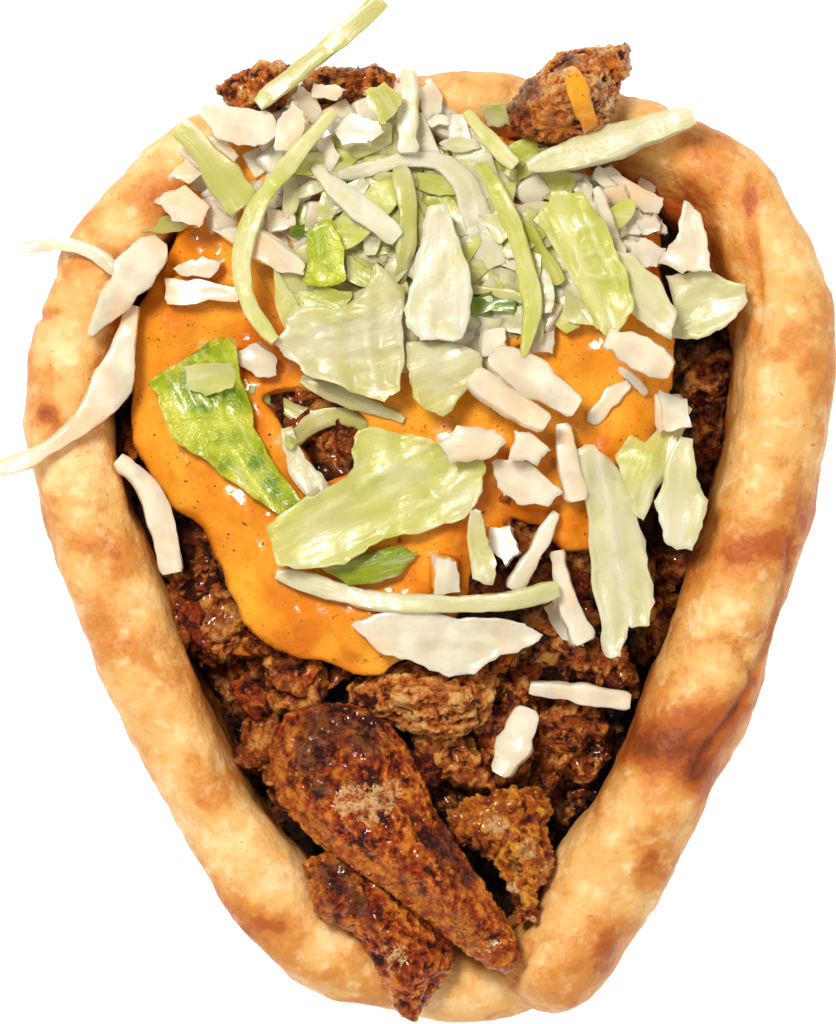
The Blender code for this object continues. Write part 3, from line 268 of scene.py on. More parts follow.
# Chunks: thickness, finish, lift, outline.
CHUNKS = [
    (2.5, "onion", 0.0, [(-39, 72.5), (-32, 72.5), (-26, 71.5), (-25, 68), (-29, 65), (-33, 65), (-36.5, 67)]),
    (2.5, "onion", 0.6, [(-37.5, 66), (-35, 67), (-32, 63), (-33, 61.3), (-36, 63.5)]),
    (4.0, "onion", 1.2, [(-25, 70), (-22, 72.8), (-20, 71), (-20, 68), (-22.5, 64), (-25.3, 63.8)]),
    (3.0, "onion", 0.4, [(-23, 74), (-21.5, 76.6), (-18.5, 74.5), (-17, 72), (-19, 70), (-22, 71.5)]),
    (2.5, "onion", 0.2, [(-18.5, 77), (-15, 76.5), (-13, 75), (-14, 73.5), (-18.5, 74.5)]),
    (3.5, "onion", 0.6, [(-15.3, 69.6), (-12, 71), (-7, 70), (-6, 68), (-9.5, 66), (-13.5, 66)]),
    (2.5, "onion", 0.2, [(-18, 66), (-15.8, 67.5), (-14.4, 63.5), (-15.8, 61), (-18, 62.5)]),
    (2.5, "cabbage", 0.8, [(-9.6, 75), (-6.5, 76.8), (-3.2, 75.2), (-3, 71), (-6, 69.2), (-8.6, 71.8)]),
    (3.0, "onion", 0.8, [(0.3, 76), (2.2, 77.7), (4, 75), (3.6, 71.6), (1, 70.4)]),
    (2.5, "onion", 0.0, [(1, 71.2), (5.4, 71), (5.8, 69.4), (2.4, 68.6)]),
    (2.5, "onion", 0.0, [(6, 74.5), (8.5, 74), (8, 71.3), (5.6, 71.8)]),
    (1.2, "cabbage_olive", 0.2, [(-13, 62), (-12.5, 65.3), (-7, 63), (-8, 60.8), (-12, 60.5)]),
    (1.2, "cabbage", 0.8, [(-14, 61.2), (-9, 60.2), (-4.8, 58.2), (-6, 54.4), (-10, 55.6), (-13.6, 58)]),
    (1.0, "cabbage_green", 0.3, [
        (-18, 53.8), (-14.5, 56), (-10, 50.5), (-5, 45.5), (-2.2, 41), (-4, 40.6), (-8, 44), (-13, 49.4)]),
    (1.0, "leaf_green", 2.2, [(-19.6, 50.4), (-15.2, 52), (-13.7, 50), (-13.3, 44), (-14, 41), (-20, 40.8), (-19, 46)]),
    (1.0, "cabbage_green", 0.8, [
        (-25, 43), (-21.5, 42.2), (-16, 40), (-12.4, 39.4), (-13, 35.8), (-17, 35.4), (-21, 36.2), (-23, 39)]),
    (1.0, "cabbage_green", 1.0, [(-13, 45.6), (-9, 44.2), (-6.8, 41.6), (-9, 40), (-13, 41.5)]),
    (1.0, "cabbage_green", 1.6, [(-25.5, 44), (-24.2, 42), (-20.8, 36), (-21.5, 35), (-23.8, 32.5), (-25.2, 36)]),
    (2.0, "onion", 0.6, [
        (-37, 50.4), (-30, 51.2), (-24, 47.4), (-20.4, 44.6), (-20.4, 42), (-25.5, 43.4), (-29, 45.8), (-32, 47.8)]),
    (2.0, "onion", 0.2, [(-25, 59), (-22, 59.4), (-20.4, 56.4), (-21.2, 53.4), (-25.2, 54.6)]),
    (2.0, "onion", 0.2, [(-27.2, 54.2), (-22.2, 53), (-22, 51), (-26.4, 50)]),
    (4.0, "onion", 0.4, [(-45, 57), (-41, 58.5), (-37, 54.5), (-39, 51), (-44, 51.6), (-46.5, 55)]),
    (3.0, "onion", 0.2, [(-37, 55.5), (-34, 58.4), (-30.4, 56), (-33, 53)]),
    (3.0, "onion", 0.0, [(-45, 60), (-41.5, 62.8), (-38.4, 60.6), (-41, 58.6)]),
    (2.0, "onion", 0.8, [(-21, 50), (-19.6, 49.5), (-20, 44.8), (-22, 46.5)]),
    (1.0, "cabbage_olive", 0.2, [(-6, 57), (-2.8, 56), (-2.6, 52), (-7, 53.4)]),
    (1.0, "cabbage_green", 0.7, [(0, 60.8), (5, 60.2), (8.4, 57.6), (4, 57), (0, 58)]),
    (1.0, "cabbage_olive", 0.3, [(0.4, 57), (6, 56.6), (9, 50), (2, 48)]),
    (1.0, "cabbage", 0.9, [(2, 55), (4.4, 55.4), (6.4, 50), (2, 47), (0.6, 50.5)]),
    (1.0, "cabbage_olive", 0.2, [(7, 45), (9.5, 46), (11, 42.5), (9, 40.4), (7, 42)]),
    (1.2, "cabbage", 0.6, [(4, 66), (7, 67.4), (10, 66.6), (11.4, 65), (7, 64.4)]),
    (1.0, "leaf_green", 0.3, [(1, 65.4), (6, 64.8), (12, 64.4), (17.4, 62.6), (14, 60), (9, 60.6), (4, 63.6)]),
    (3.0, "onion", 0.6, [(20, 66), (22, 68), (24.2, 66), (22, 64.8)]),
    (1.5, "cabbage_green", 0.5, [(17.4, 62), (21, 62.8), (27.6, 61), (28.4, 58), (24, 55.6), (20, 56.6), (16.6, 58)]),
    (1.0, "cabbage_olive", 0.2, [(18.4, 52.4), (20.5, 50.6), (26.6, 41.4), (24, 40), (20.6, 45)]),
    (1.0, "cabbage_olive", 0.0, [(20.6, 42), (25, 41), (29.6, 38), (30, 34), (26, 35.6), (21.6, 38.6)]),
    (2.5, "onion", 0.2, [(27.6, 58.4), (30, 60.6), (32, 58.4), (31.6, 54), (28.4, 56)]),
    (2.5, "onion", 0.6, [(34, 60), (35.6, 60.4), (39.4, 58.6), (43.6, 56.4), (43, 53.4), (40.4, 53.4), (37, 57)]),
    (2.5, "onion", 0.4, [(34.6, 54.6), (38, 55), (41.4, 52.6), (44.8, 51.6), (44.6, 50), (38, 50.2), (35, 52)]),
    (3.5, "onion", 0.4, [(37.4, 48.2), (41, 49.2), (44, 47.5), (43, 44), (40, 43.8), (38, 45.8)]),
    (2.5, "onion", 0.2, [(29.4, 55), (31.8, 54.6), (32.4, 50), (30.8, 48.4), (29.6, 51)]),
    (2.0, "onion", 0.4, [(24, 56), (27, 57), (28.4, 54), (25.6, 52.6)]),
    (2.0, "onion", 0.2, [(40, 61), (43, 60.4), (43, 57.6), (40, 58)]),
    (2.5, "onion", 0.5, [(32, 61.6), (35, 62.2), (37, 60), (34, 58.2), (31.6, 59.6)]),
    (2.2, "onion", 1.2, [(29, 52.8), (33, 53.2), (37, 51), (36, 48.6), (31, 49.4)]),
    (2.0, "onion", 1.4, [(33.5, 57.4), (37, 58), (38.4, 55), (35.4, 54)]),
    (2.4, "onion", 1.0, [(39, 52.4), (42.4, 53), (43.4, 50.6), (40, 49.6)]),
    (2.4, "onion", 0.8, [(30, 47.4), (33.4, 48), (34, 44.6), (31, 43.6)]),
    (1.0, "cabbage", 0.6, [(15, 35), (19, 38.2), (20, 35), (18, 30.6), (15.4, 33)]),
    (2.0, "onion", 0.4, [(12, 32), (15.6, 32.6), (15.6, 28.4), (11, 28)]),
    (2.0, "onion", 0.4, [(20.4, 32), (24, 32), (24.6, 28), (20.4, 28.4)]),
    (1.0, "cabbage", 1.0, [(9, 50), (12, 49), (16, 46), (17, 42), (14, 40), (11, 41), (9, 45.4)]),
    (1.4, "cabbage", 0.2, [(26, 40), (31, 38), (32, 33), (27, 34)]),
]
# Chunks lie no steeper than this, rise over run, and leave out ground that is further from their middle height.
STEEPEST = 0.5
NEAR_MIDDLE = 1.5
# Strips: thickness, finish, lift, rows of x, y and width.
STRIPS = [
    (1.0, "cabbage_white", 3.2, [
        (-14, 60.2, 2.2), (-8, 61.6, 2.6), (-2, 63, 2.8), (4, 62.6, 3.4), (8, 59.4, 4.4), (10, 54, 5.6),
        (11.6, 49, 6.4), (14, 44, 5)]),
    (1.2, "cabbage", 2.4, [(-3.2, 61.4, 4.4), (-2, 55, 3.8), (-2, 49, 3.4), (-3, 43, 2.2), (-4, 39.4, 1.4)]),
    (1.4, "cabbage_white", 3.0, [(-18.6, 61.6, 1.8), (-14.4, 57.4, 3.4), (-8.6, 53, 4.8), (-3.6, 48.8, 3.6)]),
    (1.0, "cabbage_green", 1.8, [(8.4, 71.6, 1.4), (12, 67.4, 2.8), (17.4, 62, 2.6)]),
    (1.2, "cabbage_green", 3.0, [
        (10.6, 63, 2), (14, 57.6, 2.8), (17.4, 50, 3.2), (19.4, 43, 3.4), (20.4, 36, 3), (18.8, 27.6, 1.2)]),
    (1.0, "cabbage", 1.2, [(8, 40, 1.6), (13, 39.6, 1.8), (18, 38.4, 2), (20, 37, 1)]),
    (1.6, "onion", 1.2, [(31.8, 58, 1.6), (34, 52, 2.4), (36.6, 45.6, 2)]),
    (1.4, "onion", 0.8, [(33, 50, 1.4), (31, 47, 2.2), (33, 45, 1.6)]),
    (1.0, "cabbage_green", 0.8, [(16, 61, 2), (19, 59, 3), (22, 57, 2)]),
    (1.0, "cabbage_green", 0.6, [(-12, 50, 1.6), (-8, 46.6, 2.6), (-5, 42, 2.4)]),
    (1.0, "cabbage_olive", 0.4, [(-5, 47, 2.6), (-3.6, 42, 3), (-2.4, 37, 2)]),
]
# The heap's bed: longest edge of its sheet, how far it lies over what is below, thickness of the sauce on it.
BED_EDGE = 1.6
BED_LIFT = 0.9
BED_SAUCE = 1.2
# Shavings lie this far under the heap's top or higher.
SHAVINGS_DEPTH = 2.6
# Scattered things: most of them on a square metre, lift, tilt.
SPREAD = {
    "dice": (90000.0, 1.0, 0.4), "shavings": (90000.0, 1.0, 0.2), "flakes": (30000.0, 0.1, 0.5),
    "crumbs": (400000.0, 0.05, 1.4),
}
# Dice and crumbs: gap, smallest and largest size, seed.
DICE = (3.0, 3.4, 6.8, 5)
CRUMBS = (0.9, 0.4, 1.15, 9)
# Places where onion dice lie: x, y and reach.
DICE_PLACES = [
    (-36, 60, 12), (-22, 66, 12), (-10, 72, 10), (36, 53, 11), (26, 60, 8), (2, 73, 8), (-28, 52, 8), (22, 33, 7),
]
# Shavings: name, finish, places as for the dice, gap, smallest and largest length, seed.
SHAVINGS = [
    ("salad_shavings_pale", "cabbage", [(-8, 52, 11), (8, 46, 12), (14, 58, 9), (-12, 42, 8), (5, 33, 8)],
     3.6, 9.0, 16.0, 3),
    ("salad_shavings_white", "cabbage_white", [(-10, 60, 9), (6, 52, 10), (18, 44, 9), (-6, 46, 8), (26, 50, 7)],
     4.2, 9.0, 16.0, 12),
    ("salad_shavings_green", "cabbage_olive", [(2, 54, 11), (20, 50, 9), (-10, 56, 8), (26, 42, 8), (-4, 44, 9)],
     4.2, 9.0, 15.0, 8),
]
# Cross section of a shaving: across, as a share of half its width, and up.
SHAVING_SECTION = (
    (-1, 0.02), (-0.4, 0.05), (0.2, 0.03), (1, 0.06), (1, 0), (0.2, -0.04), (-0.4, -0.02), (-1, -0.05),
)
# Small cut pieces on the others: name, finish, nodes, chunks and strips, each with thickness, lift and places.
EXTRAS = [
    ("leaf_square", "cabbage_green", ["cabbage_leaf_green"],
     [(0.8, 1.2, [(-42, 26), (-36.5, 27), (-32.5, 26.3), (-33, 22.5), (-38, 21.5), (-41.5, 22)])], []),
    ("strips_over_hole", "cabbage", ["sauce"], [], [
        (1.2, 0.8, [(-30, 22, 2), (-25, 19.5, 3.2), (-20, 17, 3.4), (-14, 17.5, 2.6)]),
        (1.2, 1.6, [(-23, 12, 2.4), (-19, 16, 3), (-14, 17.3, 3.4), (-9, 15.5, 2.4)]),
        (1.2, 0.8, [(-21, 24, 2.2), (-14, 21, 3), (-6, 18, 2.6), (-2.5, 16.5, 1.8)]),
    ]),
    ("strips_on_sauce_right", "onion", ["sauce"],
     [(1.8, 0.6, [(22, -12), (25.5, -13), (28, -18), (30, -24), (26, -23), (23, -18)]),
      (1.8, 0.6, [(43, 22), (48, 20), (49, 15), (44.5, 14.5)])],
     [(1.2, 0.5, [(36, 26, 1.2), (38.5, 24, 1.8), (41, 21.5, 1.4)]),
      (1.2, 0.5, [(31, 16, 2.4), (34, 20, 3.0), (38, 23, 2.0)])]),
    ("pepper_bits", "pepper_green", ["salad_heap"],
     [(1.2, 0.7, [(-26, 53.5), (-24, 57), (-21.8, 55), (-23.5, 52.8)]),
      (1.2, 0.9, [(-23, 50.6), (-20.4, 51), (-20, 49), (-22.6, 49)]),
      (1.4, 1.0, [(9, 38), (13, 39.3), (17.4, 37.5), (17, 35.3), (13, 36), (10, 35.5)])], []),
    ("yellow_bits", "cabbage_green", ["salad_heap"],
     [(1.2, 1.2, [(11, 53), (14, 53.4), (16.4, 49.4), (14, 48)]),
      (1.2, 0.8, [(-50, 50.5), (-45, 53), (-41, 51), (-46, 49.8)]),
      (1.2, 1.0, [(11, 73.5), (16, 73), (16.6, 69.4), (12.5, 69.8)])], []),
]
# Scraps of meat on the heap: name, finish, gap, smallest and largest length, seed.
FLAKES = [
    ("meat_scraps_dark", "meat_dark", 4.6, 7.0, 13.0, 21),
    ("meat_scraps_brown", "meat_seared", 5.5, 5.0, 11.0, 22),
    ("meat_scraps_golden", "meat_fatty", 6.5, 2.5, 6.0, 23),
]
# Drip of sauce over the chunk at the back: rows of x, y and width, thickness, lift.
DRIP = [(26.8, 78.6, 3.0), (28, 76, 4.0), (28.8, 73, 3.4), (30, 70.4, 3.0), (31.2, 67.6, 3.6)]
DRIP_THICK = 1.2
DRIP_LIFT = 0.6
# Onion bits half sunk in the sauce: thickness, lift, outlines.
SUNK_THICK = 3.0
SUNK_LIFT = 1.9
SUNK_BITS = [
    [(-33, 29), (-29, 30), (-25.5, 27.5), (-26, 25), (-29, 24.5), (-32, 26)],
    [(3, -8.5), (7, -9), (7.5, -14.5), (3, -15)],
    [(-45.5, 42), (-39, 41.5), (-32, 40.5), (-32, 38), (-45, 37.5)],
    [(-43.5, 43), (-39, 46), (-35.5, 45), (-37, 42.5), (-42, 42)],
    [(13, -3), (16, -2.5), (18, -7), (15.5, -9.5), (13, -6)],
]
# First seed of each kind of cut piece.
SEEDS = {"chunks": 60, "strips": 90, "sunk": 130, "extra_chunks": 150, "extra_strips": 170}
# Rows along a shred with a table of its own, and along a small one.
SHRED_ROWS = 24
SMALL_ROWS = 20
# A shred's width wavers by this share, anew every few rows.
WAVER = 0.10
WAVER_EVERY = 3
# Finishes of meat: dark, middle and light colour, strength of the glints.
MEAT_COLOURS = {
    "meat_dark": ((30, 9, 3), (176, 80, 24), (250, 170, 80), 1.0),
    "meat_seared": ((60, 14, 4), (178, 62, 8), (246, 144, 42), 0.9),
    "meat_grainy": ((82, 27, 7), (224, 120, 40), (255, 196, 112), 0.7),
    "meat_fatty": ((92, 28, 4), (190, 86, 8), (246, 166, 54), 1.0),
}
# Finishes of leaves: pale, middle and deep colour, strength of the deep one, and perhaps of veins, size of patches.
LEAF_COLOURS = {
    "cabbage": ((208, 200, 162), (198, 190, 124), (182, 180, 82), 0.7),
    "cabbage_white": ((220, 212, 186), (212, 205, 162), (196, 193, 120), 0.5),
    "cabbage_green": ((212, 206, 146), (200, 196, 108), (174, 182, 62), 0.6),
    "cabbage_olive": ((216, 211, 146), (200, 199, 100), (168, 176, 50), 0.6),
    "leaf_green": ((208, 208, 78), (168, 182, 20), (94, 134, 6), 0.95, 0.7, 6),
    "pepper_green": ((140, 152, 24), (104, 128, 8), (62, 92, 4), 0.6),
}


class Wire:
    """A number on a node's socket; arithmetic on it adds Math nodes."""

    def __init__(self, graph, socket):
        self.graph = graph
        self.socket = socket

    def _math(self, operation, first, second=0.0):
        return self.graph.node("ShaderNodeMath", {"operation": operation}, {0: first, 1: second})

    def __add__(self, other):
        return self._math("ADD", self, other)

    __radd__ = __add__

    def __sub__(self, other):
        return self._math("SUBTRACT", self, other)

    def __rsub__(self, other):
        return self._math("SUBTRACT", other, self)

    def __mul__(self, other):
        return self._math("MULTIPLY", self, other)

    __rmul__ = __mul__

    def sine(self):
        return self._math("SINE", self)

    def cosine(self):
        return self._math("COSINE", self)

    def over(self, low, high):
        """0 below low, 1 above high, smooth between."""
        return self.graph.node(
            "ShaderNodeMapRange", {"interpolation_type": "SMOOTHSTEP"},
            {"Value": self, "From Min": low, "From Max": high},
        )


class Graph:
    """A node tree that is put together in words."""

    def __init__(self, tree):
        self.tree = tree

    def node(self, kind, settings=None, sockets=None, output=0):
        made = self.tree.nodes.new(kind)
        for name, value in (settings or {}).items():
            setattr(made, name, value)
        for name, value in (sockets or {}).items():
            if isinstance(value, Wire):
                self.tree.links.new(value.socket, made.inputs[name])
            else:
                made.inputs[name].default_value = value
        return Wire(self, made.outputs[output]) if len(made.outputs) else None

    def vector(self, operation, first, second=None, scale=None):
        sockets = {0: first}
        if second is not None:
            sockets[1] = second
        if scale is not None:
            sockets["Scale"] = scale
        return self.node("ShaderNodeVectorMath", {"operation": operation}, sockets)

    def join(self, x, y, z):
        return self.node("ShaderNodeCombineXYZ", {}, {0: x, 1: y, 2: z})


def colour(value):
    """A screen colour given as three numbers up to 255, made linear; wires pass through."""
    if isinstance(value, Wire):
        return value
    return (*[(v / 255 / 12.92 if v < 10.3 else ((v / 255 + 0.055) / 1.055) ** 2.4) for v in value], 1.0)


class Finish(Graph):
    """One procedural finish, read at places on the object."""

    def __init__(self, name):
        self.material = bpy.data.materials.new(name)
        self.material.use_nodes = True
        super().__init__(self.material.node_tree)
        self.tree.nodes.clear()
        self.place = self.node("ShaderNodeTexCoord", output="Object")

    def grain(self, size, detail=2.0, rough=0.5, shift=0.0, where=None):
        """Noise from 0 to 1 with features of about that size in millimetres."""
        moved = self.vector("ADD", where or self.place, (shift, shift * 0.7, shift * 1.3))
        return self.node("ShaderNodeTexNoise", {"noise_dimensions": "3D"}, {
            "Vector": moved, "Scale": 1 / (size * MM), "Detail": detail, "Roughness": rough})

    def cells(self, size, feature="F1", shift=0.0, where=None):
        """Distance inside cells of about that size in millimetres."""
        moved = self.vector("ADD", where or self.place, (shift, -shift, shift * 0.5))
        return self.node("ShaderNodeTexVoronoi", {"feature": feature}, {
            "Vector": moved, "Scale": 1 / (size * MM), "Randomness": 1.0})

    def mix(self, share, low, high):
        return self.node("ShaderNodeMix", {"data_type": "RGBA"}, {
            0: share, 6: colour(low), 7: colour(high)}, output=2)

    def attribute(self, name):
        return self.node("ShaderNodeAttribute", {"attribute_name": name}, output="Fac")

    def fibres(self):
        """Places on a leaf or shred, squeezed along its length, for streaks."""
        return self.join(self.attribute("across"), self.attribute("along") * 0.12, self.attribute("tint") * 0.05)

    def bump(self, height, depth):
        return self.node("ShaderNodeBump", {}, {"Height": height, "Distance": depth * MM, "Strength": 1.0})

    def shade(self, **sockets):
        names = {key.replace("_", " ").title().replace("Ior", "IOR"): value for key, value in sockets.items()}
        shader = self.node("ShaderNodeBsdfPrincipled", {}, names)
        self.node("ShaderNodeOutputMaterial", {}, {"Surface": shader})
        return self.material


def bread_finish():
    f = Finish("flatbread")
    # The stored value holds the toasted spots, darker sides that are partly painted shade, and painted shade in the
    # creases and inside the pocket.
    toast = f.attribute("toast")
    cloud = f.grain(13, 4, 0.62)
    fine = f.grain(2.6, 4, 0.68, 3)
    warm = toast + (cloud - 0.5) * 1.25 + (fine - 0.5) * 0.55
    base = f.mix(warm.over(-0.25, 0.12), (250, 212, 152), (234, 178, 102))
    base = f.mix(warm.over(0.10, 0.42), base, (214, 138, 60))
    base = f.mix(warm.over(0.40, 0.72), base, (182, 92, 30))
    base = f.mix(warm.over(0.72, 1.15), base, (126, 54, 14))
    speck = f.grain(1.1, 2, 0.5, 15).over(0.66, 0.74) * f.grain(7, 2, 0.5, 5).over(0.46, 0.58)
    base = f.mix(speck * 0.6, base, (160, 84, 30))
    # Pale cream patches where the bread is little toasted: painted highlights.
    pale = f.grain(3.6, 3, 0.55, 21).over(0.56, 0.70)
    base = f.mix(pale * 0.4 * (1 - warm.over(0.2, 0.7)), base, (255, 230, 182))
    skin = f.grain(0.9, 3, 0.6, 7) * 0.25 + f.grain(4, 3, 0.55, 9)
    return f.shade(
        base_color=base, roughness=0.44 + f.grain(5, 2, 0.5, 11) * 0.2, normal=f.bump(skin, 0.7),
        subsurface_weight=0.10, subsurface_radius=(0.004, 0.002, 0.001), subsurface_scale=0.4,
        specular_ior_level=0.4,
    )


def meat_finish(name, dark, mid, light, glint):
    """Browned meat: painted shade makes it dark in the hollows and lighter on the crags; with a sugary crust and small
    greasy glints.
    """
    f = Finish(name)
    cloud = f.grain(6, 3, 0.62)
    fine = f.grain(1.5, 5, 0.78, 4)
    crust = 1 - f.cells(1.0)
    # Painted shade and light from the relief: low places darker, high places lighter.
    tone = f.attribute("height") * 1.5 + (cloud - 0.5) * 1.6 + (fine - 0.5) * 2.2 - 0.32
    tone = tone + (f.attribute("tint") - 0.5) * 0.8 + (crust - 0.6) * 0.3
    base = f.mix(tone.over(0.0, 0.42), dark, mid)
    base = f.mix(tone.over(0.42, 0.95), base, light)
    base = f.mix(f.grain(5, 2, 0.5, 13).over(0.52, 0.70) * 0.6, base, (132, 38, 8))
    base = f.mix(f.grain(2.4, 3, 0.6, 17).over(0.56, 0.67) * 0.75, base, (232, 128, 28))
    ragged = (fine - 0.5) * 2.4 + (cloud - 0.5) * 1.2
    bark = f.mix(fine.over(0.42, 0.62), (48, 18, 10), (122, 70, 48))
    purple = f.attribute("purple")
    base = f.mix((purple + ragged * 0.9).over(0.20, 0.95) * purple.over(0.0, 0.3) * 0.8, base, bark)
    rind = f.mix(f.grain(2.2, 4, 0.7, 29).over(0.40, 0.60), (176, 70, 8), (250, 152, 40))
    base = f.mix((f.attribute("amber") + ragged * 0.7).over(0.25, 0.95) * 0.75, base, rind)
    cream = f.mix(fine.over(0.42, 0.58), (196, 96, 30), (255, 206, 140))
    base = f.mix((f.attribute("patch") + ragged * 0.9).over(0.50, 0.72) * 0.85, base, cream)
    char = f.grain(1.9, 4, 0.7, 6).over(0.58, 0.66) * f.grain(7, 2, 0.5, 26).over(0.44, 0.58)
    base = f.mix(char * 0.9, base, (24, 9, 4))
    # Painted shade: near black where a point lies deep under what is round it.
    base = f.mix(f.attribute("shade"), base, (10, 4, 2))
    glow = fine.over(0.46, 0.62) * glint + f.attribute("amber") * 0.35
    return f.shade(
        base_color=base, roughness=0.60 - fine * 0.3, normal=f.bump(crust * 0.6 + fine * 1.6, 1.0),
        subsurface_weight=0.05, subsurface_radius=(0.003, 0.001, 0.0005), subsurface_scale=0.3,
        specular_ior_level=0.35, coat_weight=glow, coat_roughness=0.08,
    )


def sauce_finish():
    f = Finish("sauce")
    cloud = f.grain(11, 3, 0.6)
    base = f.mix(cloud.over(0.34, 0.66), (206, 102, 12), (246, 158, 40))
    base = f.mix(f.grain(26, 1, 0.5, 17).over(0.42, 0.66) * 0.6, base, (252, 178, 52))
    base = f.mix(f.grain(3.5, 3, 0.6, 3).over(0.52, 0.75) * 0.4, base, (210, 108, 14))
    # Darker where the surface of the sauce is steep.
    base = f.mix(f.attribute("thin") * 0.8, base, (168, 76, 10))
    speck = f.grain(0.9, 2, 0.5, 30).over(0.68, 0.73) * f.grain(5, 2, 0.5, 4).over(0.40, 0.54)
    base = f.mix(speck * 0.9, base, (70, 26, 8))
    dust = f.grain(0.45, 2, 0.5, 34).over(0.63, 0.71) * f.grain(3, 2, 0.5, 8).over(0.42, 0.56)
    base = f.mix(dust * 0.7, base, (130, 50, 12))
    return f.shade(
        base_color=base, roughness=0.16 + f.grain(3, 2, 0.5, 12) * 0.14,
        normal=f.bump(f.grain(3, 3, 0.5, 5) + speck * 0.5, 0.35),
        subsurface_weight=0.06, subsurface_radius=(0.003, 0.002, 0.001), subsurface_scale=0.4,
        specular_ior_level=0.12, coat_weight=0.4, coat_roughness=0.04,
    )


def leaf_finish(name, pale, tint, deep, strong, veins=0.0, patches=12):
    """Cut cabbage or leaf: whitish and translucent, greener in places, with fine veins along it."""
    f = Finish(name)
    streak = f.grain(1.8, 4, 0.6, 0, f.fibres())
    wide = f.grain(7, 2, 0.5, 0.3, f.fibres())
    cloud = f.grain(patches, 2, 0.5)
    fine = f.grain(1.0, 3, 0.6, 2)
    hue = (cloud - 0.5) * 1.7 + (wide - 0.5) * 1.1 + (f.attribute("tint") - 0.5) * 0.5 + 0.5
    base = f.mix(hue.over(0.20, 0.62), pale, tint)
    base = f.mix(hue.over(0.56, 0.95) * strong, base, deep)
    bent = f.vector("ADD", f.place, f.vector(
        "SCALE", f.node("ShaderNodeTexNoise", {}, {"Vector": f.place, "Scale": 300.0}, output="Color"), scale=5 * MM))
    net = f.cells(4.6, "DISTANCE_TO_EDGE", 1.1, bent)
    mesh = f.cells(1.7, "DISTANCE_TO_EDGE", 2.1, bent)
    vein = ((1 - net.over(0.0, 0.07)) * 0.8 + (1 - mesh.over(0.0, 0.10)) * 0.35) * veins
    base = f.mix(vein * 0.6, base, pale)
    base = f.mix(f.attribute("vein") * 0.75, base, pale)
    base = f.mix(streak.over(0.50, 0.72) * 0.3, base, (246, 243, 222))
    base = f.mix((1 - streak.over(0.25, 0.42)) * 0.2, base, deep)
    glassy = f.grain(5, 2, 0.5, 40).over(0.50, 0.74) * 0.45
    base = f.mix(glassy, base, deep)
    height = streak * 0.7 + vein * 0.6 + fine * 0.35
    return f.shade(
        base_color=base, roughness=0.22 + fine * 0.22, normal=f.bump(height, 0.35),
        subsurface_weight=0.6, subsurface_radius=(0.003, 0.0028, 0.0016), subsurface_scale=0.9,
        specular_ior_level=0.5, coat_weight=0.25, coat_roughness=0.12,
    )


def onion_finish():
    f = Finish("onion")
    cloud = f.grain(7, 2, 0.5, 2)
    streak = f.grain(2.6, 2, 0.5, 0.4, f.fibres())
    shift = f.attribute("tint") * 0.3 - 0.15
    base = f.mix(cloud.over(0.30, 0.66), (217, 201, 171), (236, 225, 200))
    base = f.mix(f.grain(4.5, 2, 0.5, 40).over(0.50, 0.72) * 0.5, base, (206, 196, 178))
    base = f.mix((f.grain(7, 1, 0.5, 12) + shift).over(0.50, 0.72) * 0.45, base, (246, 194, 140))
    return f.shade(
        base_color=base, roughness=0.20 + streak * 0.15,
        normal=f.bump(streak * 0.3 + f.grain(1.4, 2, 0.5, 5) * 0.4, 0.14),
        subsurface_weight=0.6, subsurface_radius=(0.003, 0.0026, 0.002), subsurface_scale=0.9,
        coat_weight=0.25, coat_roughness=0.1,
    )


def make_finishes():
    """All finishes by name."""
    made = {"bread": bread_finish(), "sauce": sauce_finish(), "onion": onion_finish()}
    made.update((name, meat_finish(name, *colours)) for name, colours in MEAT_COLOURS.items())
    made.update((name, leaf_finish(name, *colours)) for name, colours in LEAF_COLOURS.items())
    return made


class Shape:
    """Points and faces that are worked on with numpy, in metres."""

    def __init__(self, mesh):
        points = np.empty(len(mesh.vertices) * 3, np.float32)
        mesh.vertices.foreach_get("co", points)
        self.points = points.reshape(-1, 3).astype(float)
        self.mesh = mesh
        pairs = np.empty(len(mesh.edges) * 2, np.int32)
        mesh.edges.foreach_get("vertices", pairs)
        self.pairs = pairs.reshape(-1, 2)

    def normals(self):
        self.write()
        found = np.empty(len(self.mesh.vertices) * 3, np.float32)
        self.mesh.vertex_normals.foreach_get("vector", found)
        return found.reshape(-1, 3).astype(float)

    def relax(self, rounds):
        """Evens out small facets and keeps the size: each round shrinks a little and grows back."""
        count = np.maximum(np.bincount(self.pairs.ravel(), minlength=len(self.points)), 1)[:, None]
        for step in range(rounds * 2):
            total = np.zeros_like(self.points)
            for axis in range(3):
                total[:, axis] = (
                    np.bincount(self.pairs[:, 0], self.points[self.pairs[:, 1], axis], len(self.points))
                    + np.bincount(self.pairs[:, 1], self.points[self.pairs[:, 0], axis], len(self.points))
                )
            share = 0.5 if step % 2 == 0 else -0.53
            self.points += share * (total / count - self.points)

    def write(self):
        self.mesh.vertices.foreach_set("co", self.points.astype(np.float32).ravel())
        self.mesh.update()
        return self.mesh


def clean_copy(node):
    """A node's solid as a new mesh with its corners joined."""
    shape = bmesh.new()
    shape.from_mesh(frame["nodes"][node].data)
    bmesh.ops.remove_doubles(shape, verts=shape.verts, dist=1e-6)
    made = bpy.data.meshes.new(node + "_form")
    shape.to_mesh(made)
    shape.free()
    made.materials.clear()
    return made


def reworked(mesh, work):
    """The same mesh after some steps of work on its bmesh form."""
    shape = bmesh.new()
    shape.from_mesh(mesh)
    work(shape)
    shape.to_mesh(mesh)
    shape.free()
    return mesh


def raised(mesh, lift):
    """The same mesh, moved up by some millimetres."""
    mesh.transform(Matrix.Translation((0, 0, lift * MM)))
    return mesh


def points_of(mesh):
    return np.array([v.co for v in mesh.vertices])


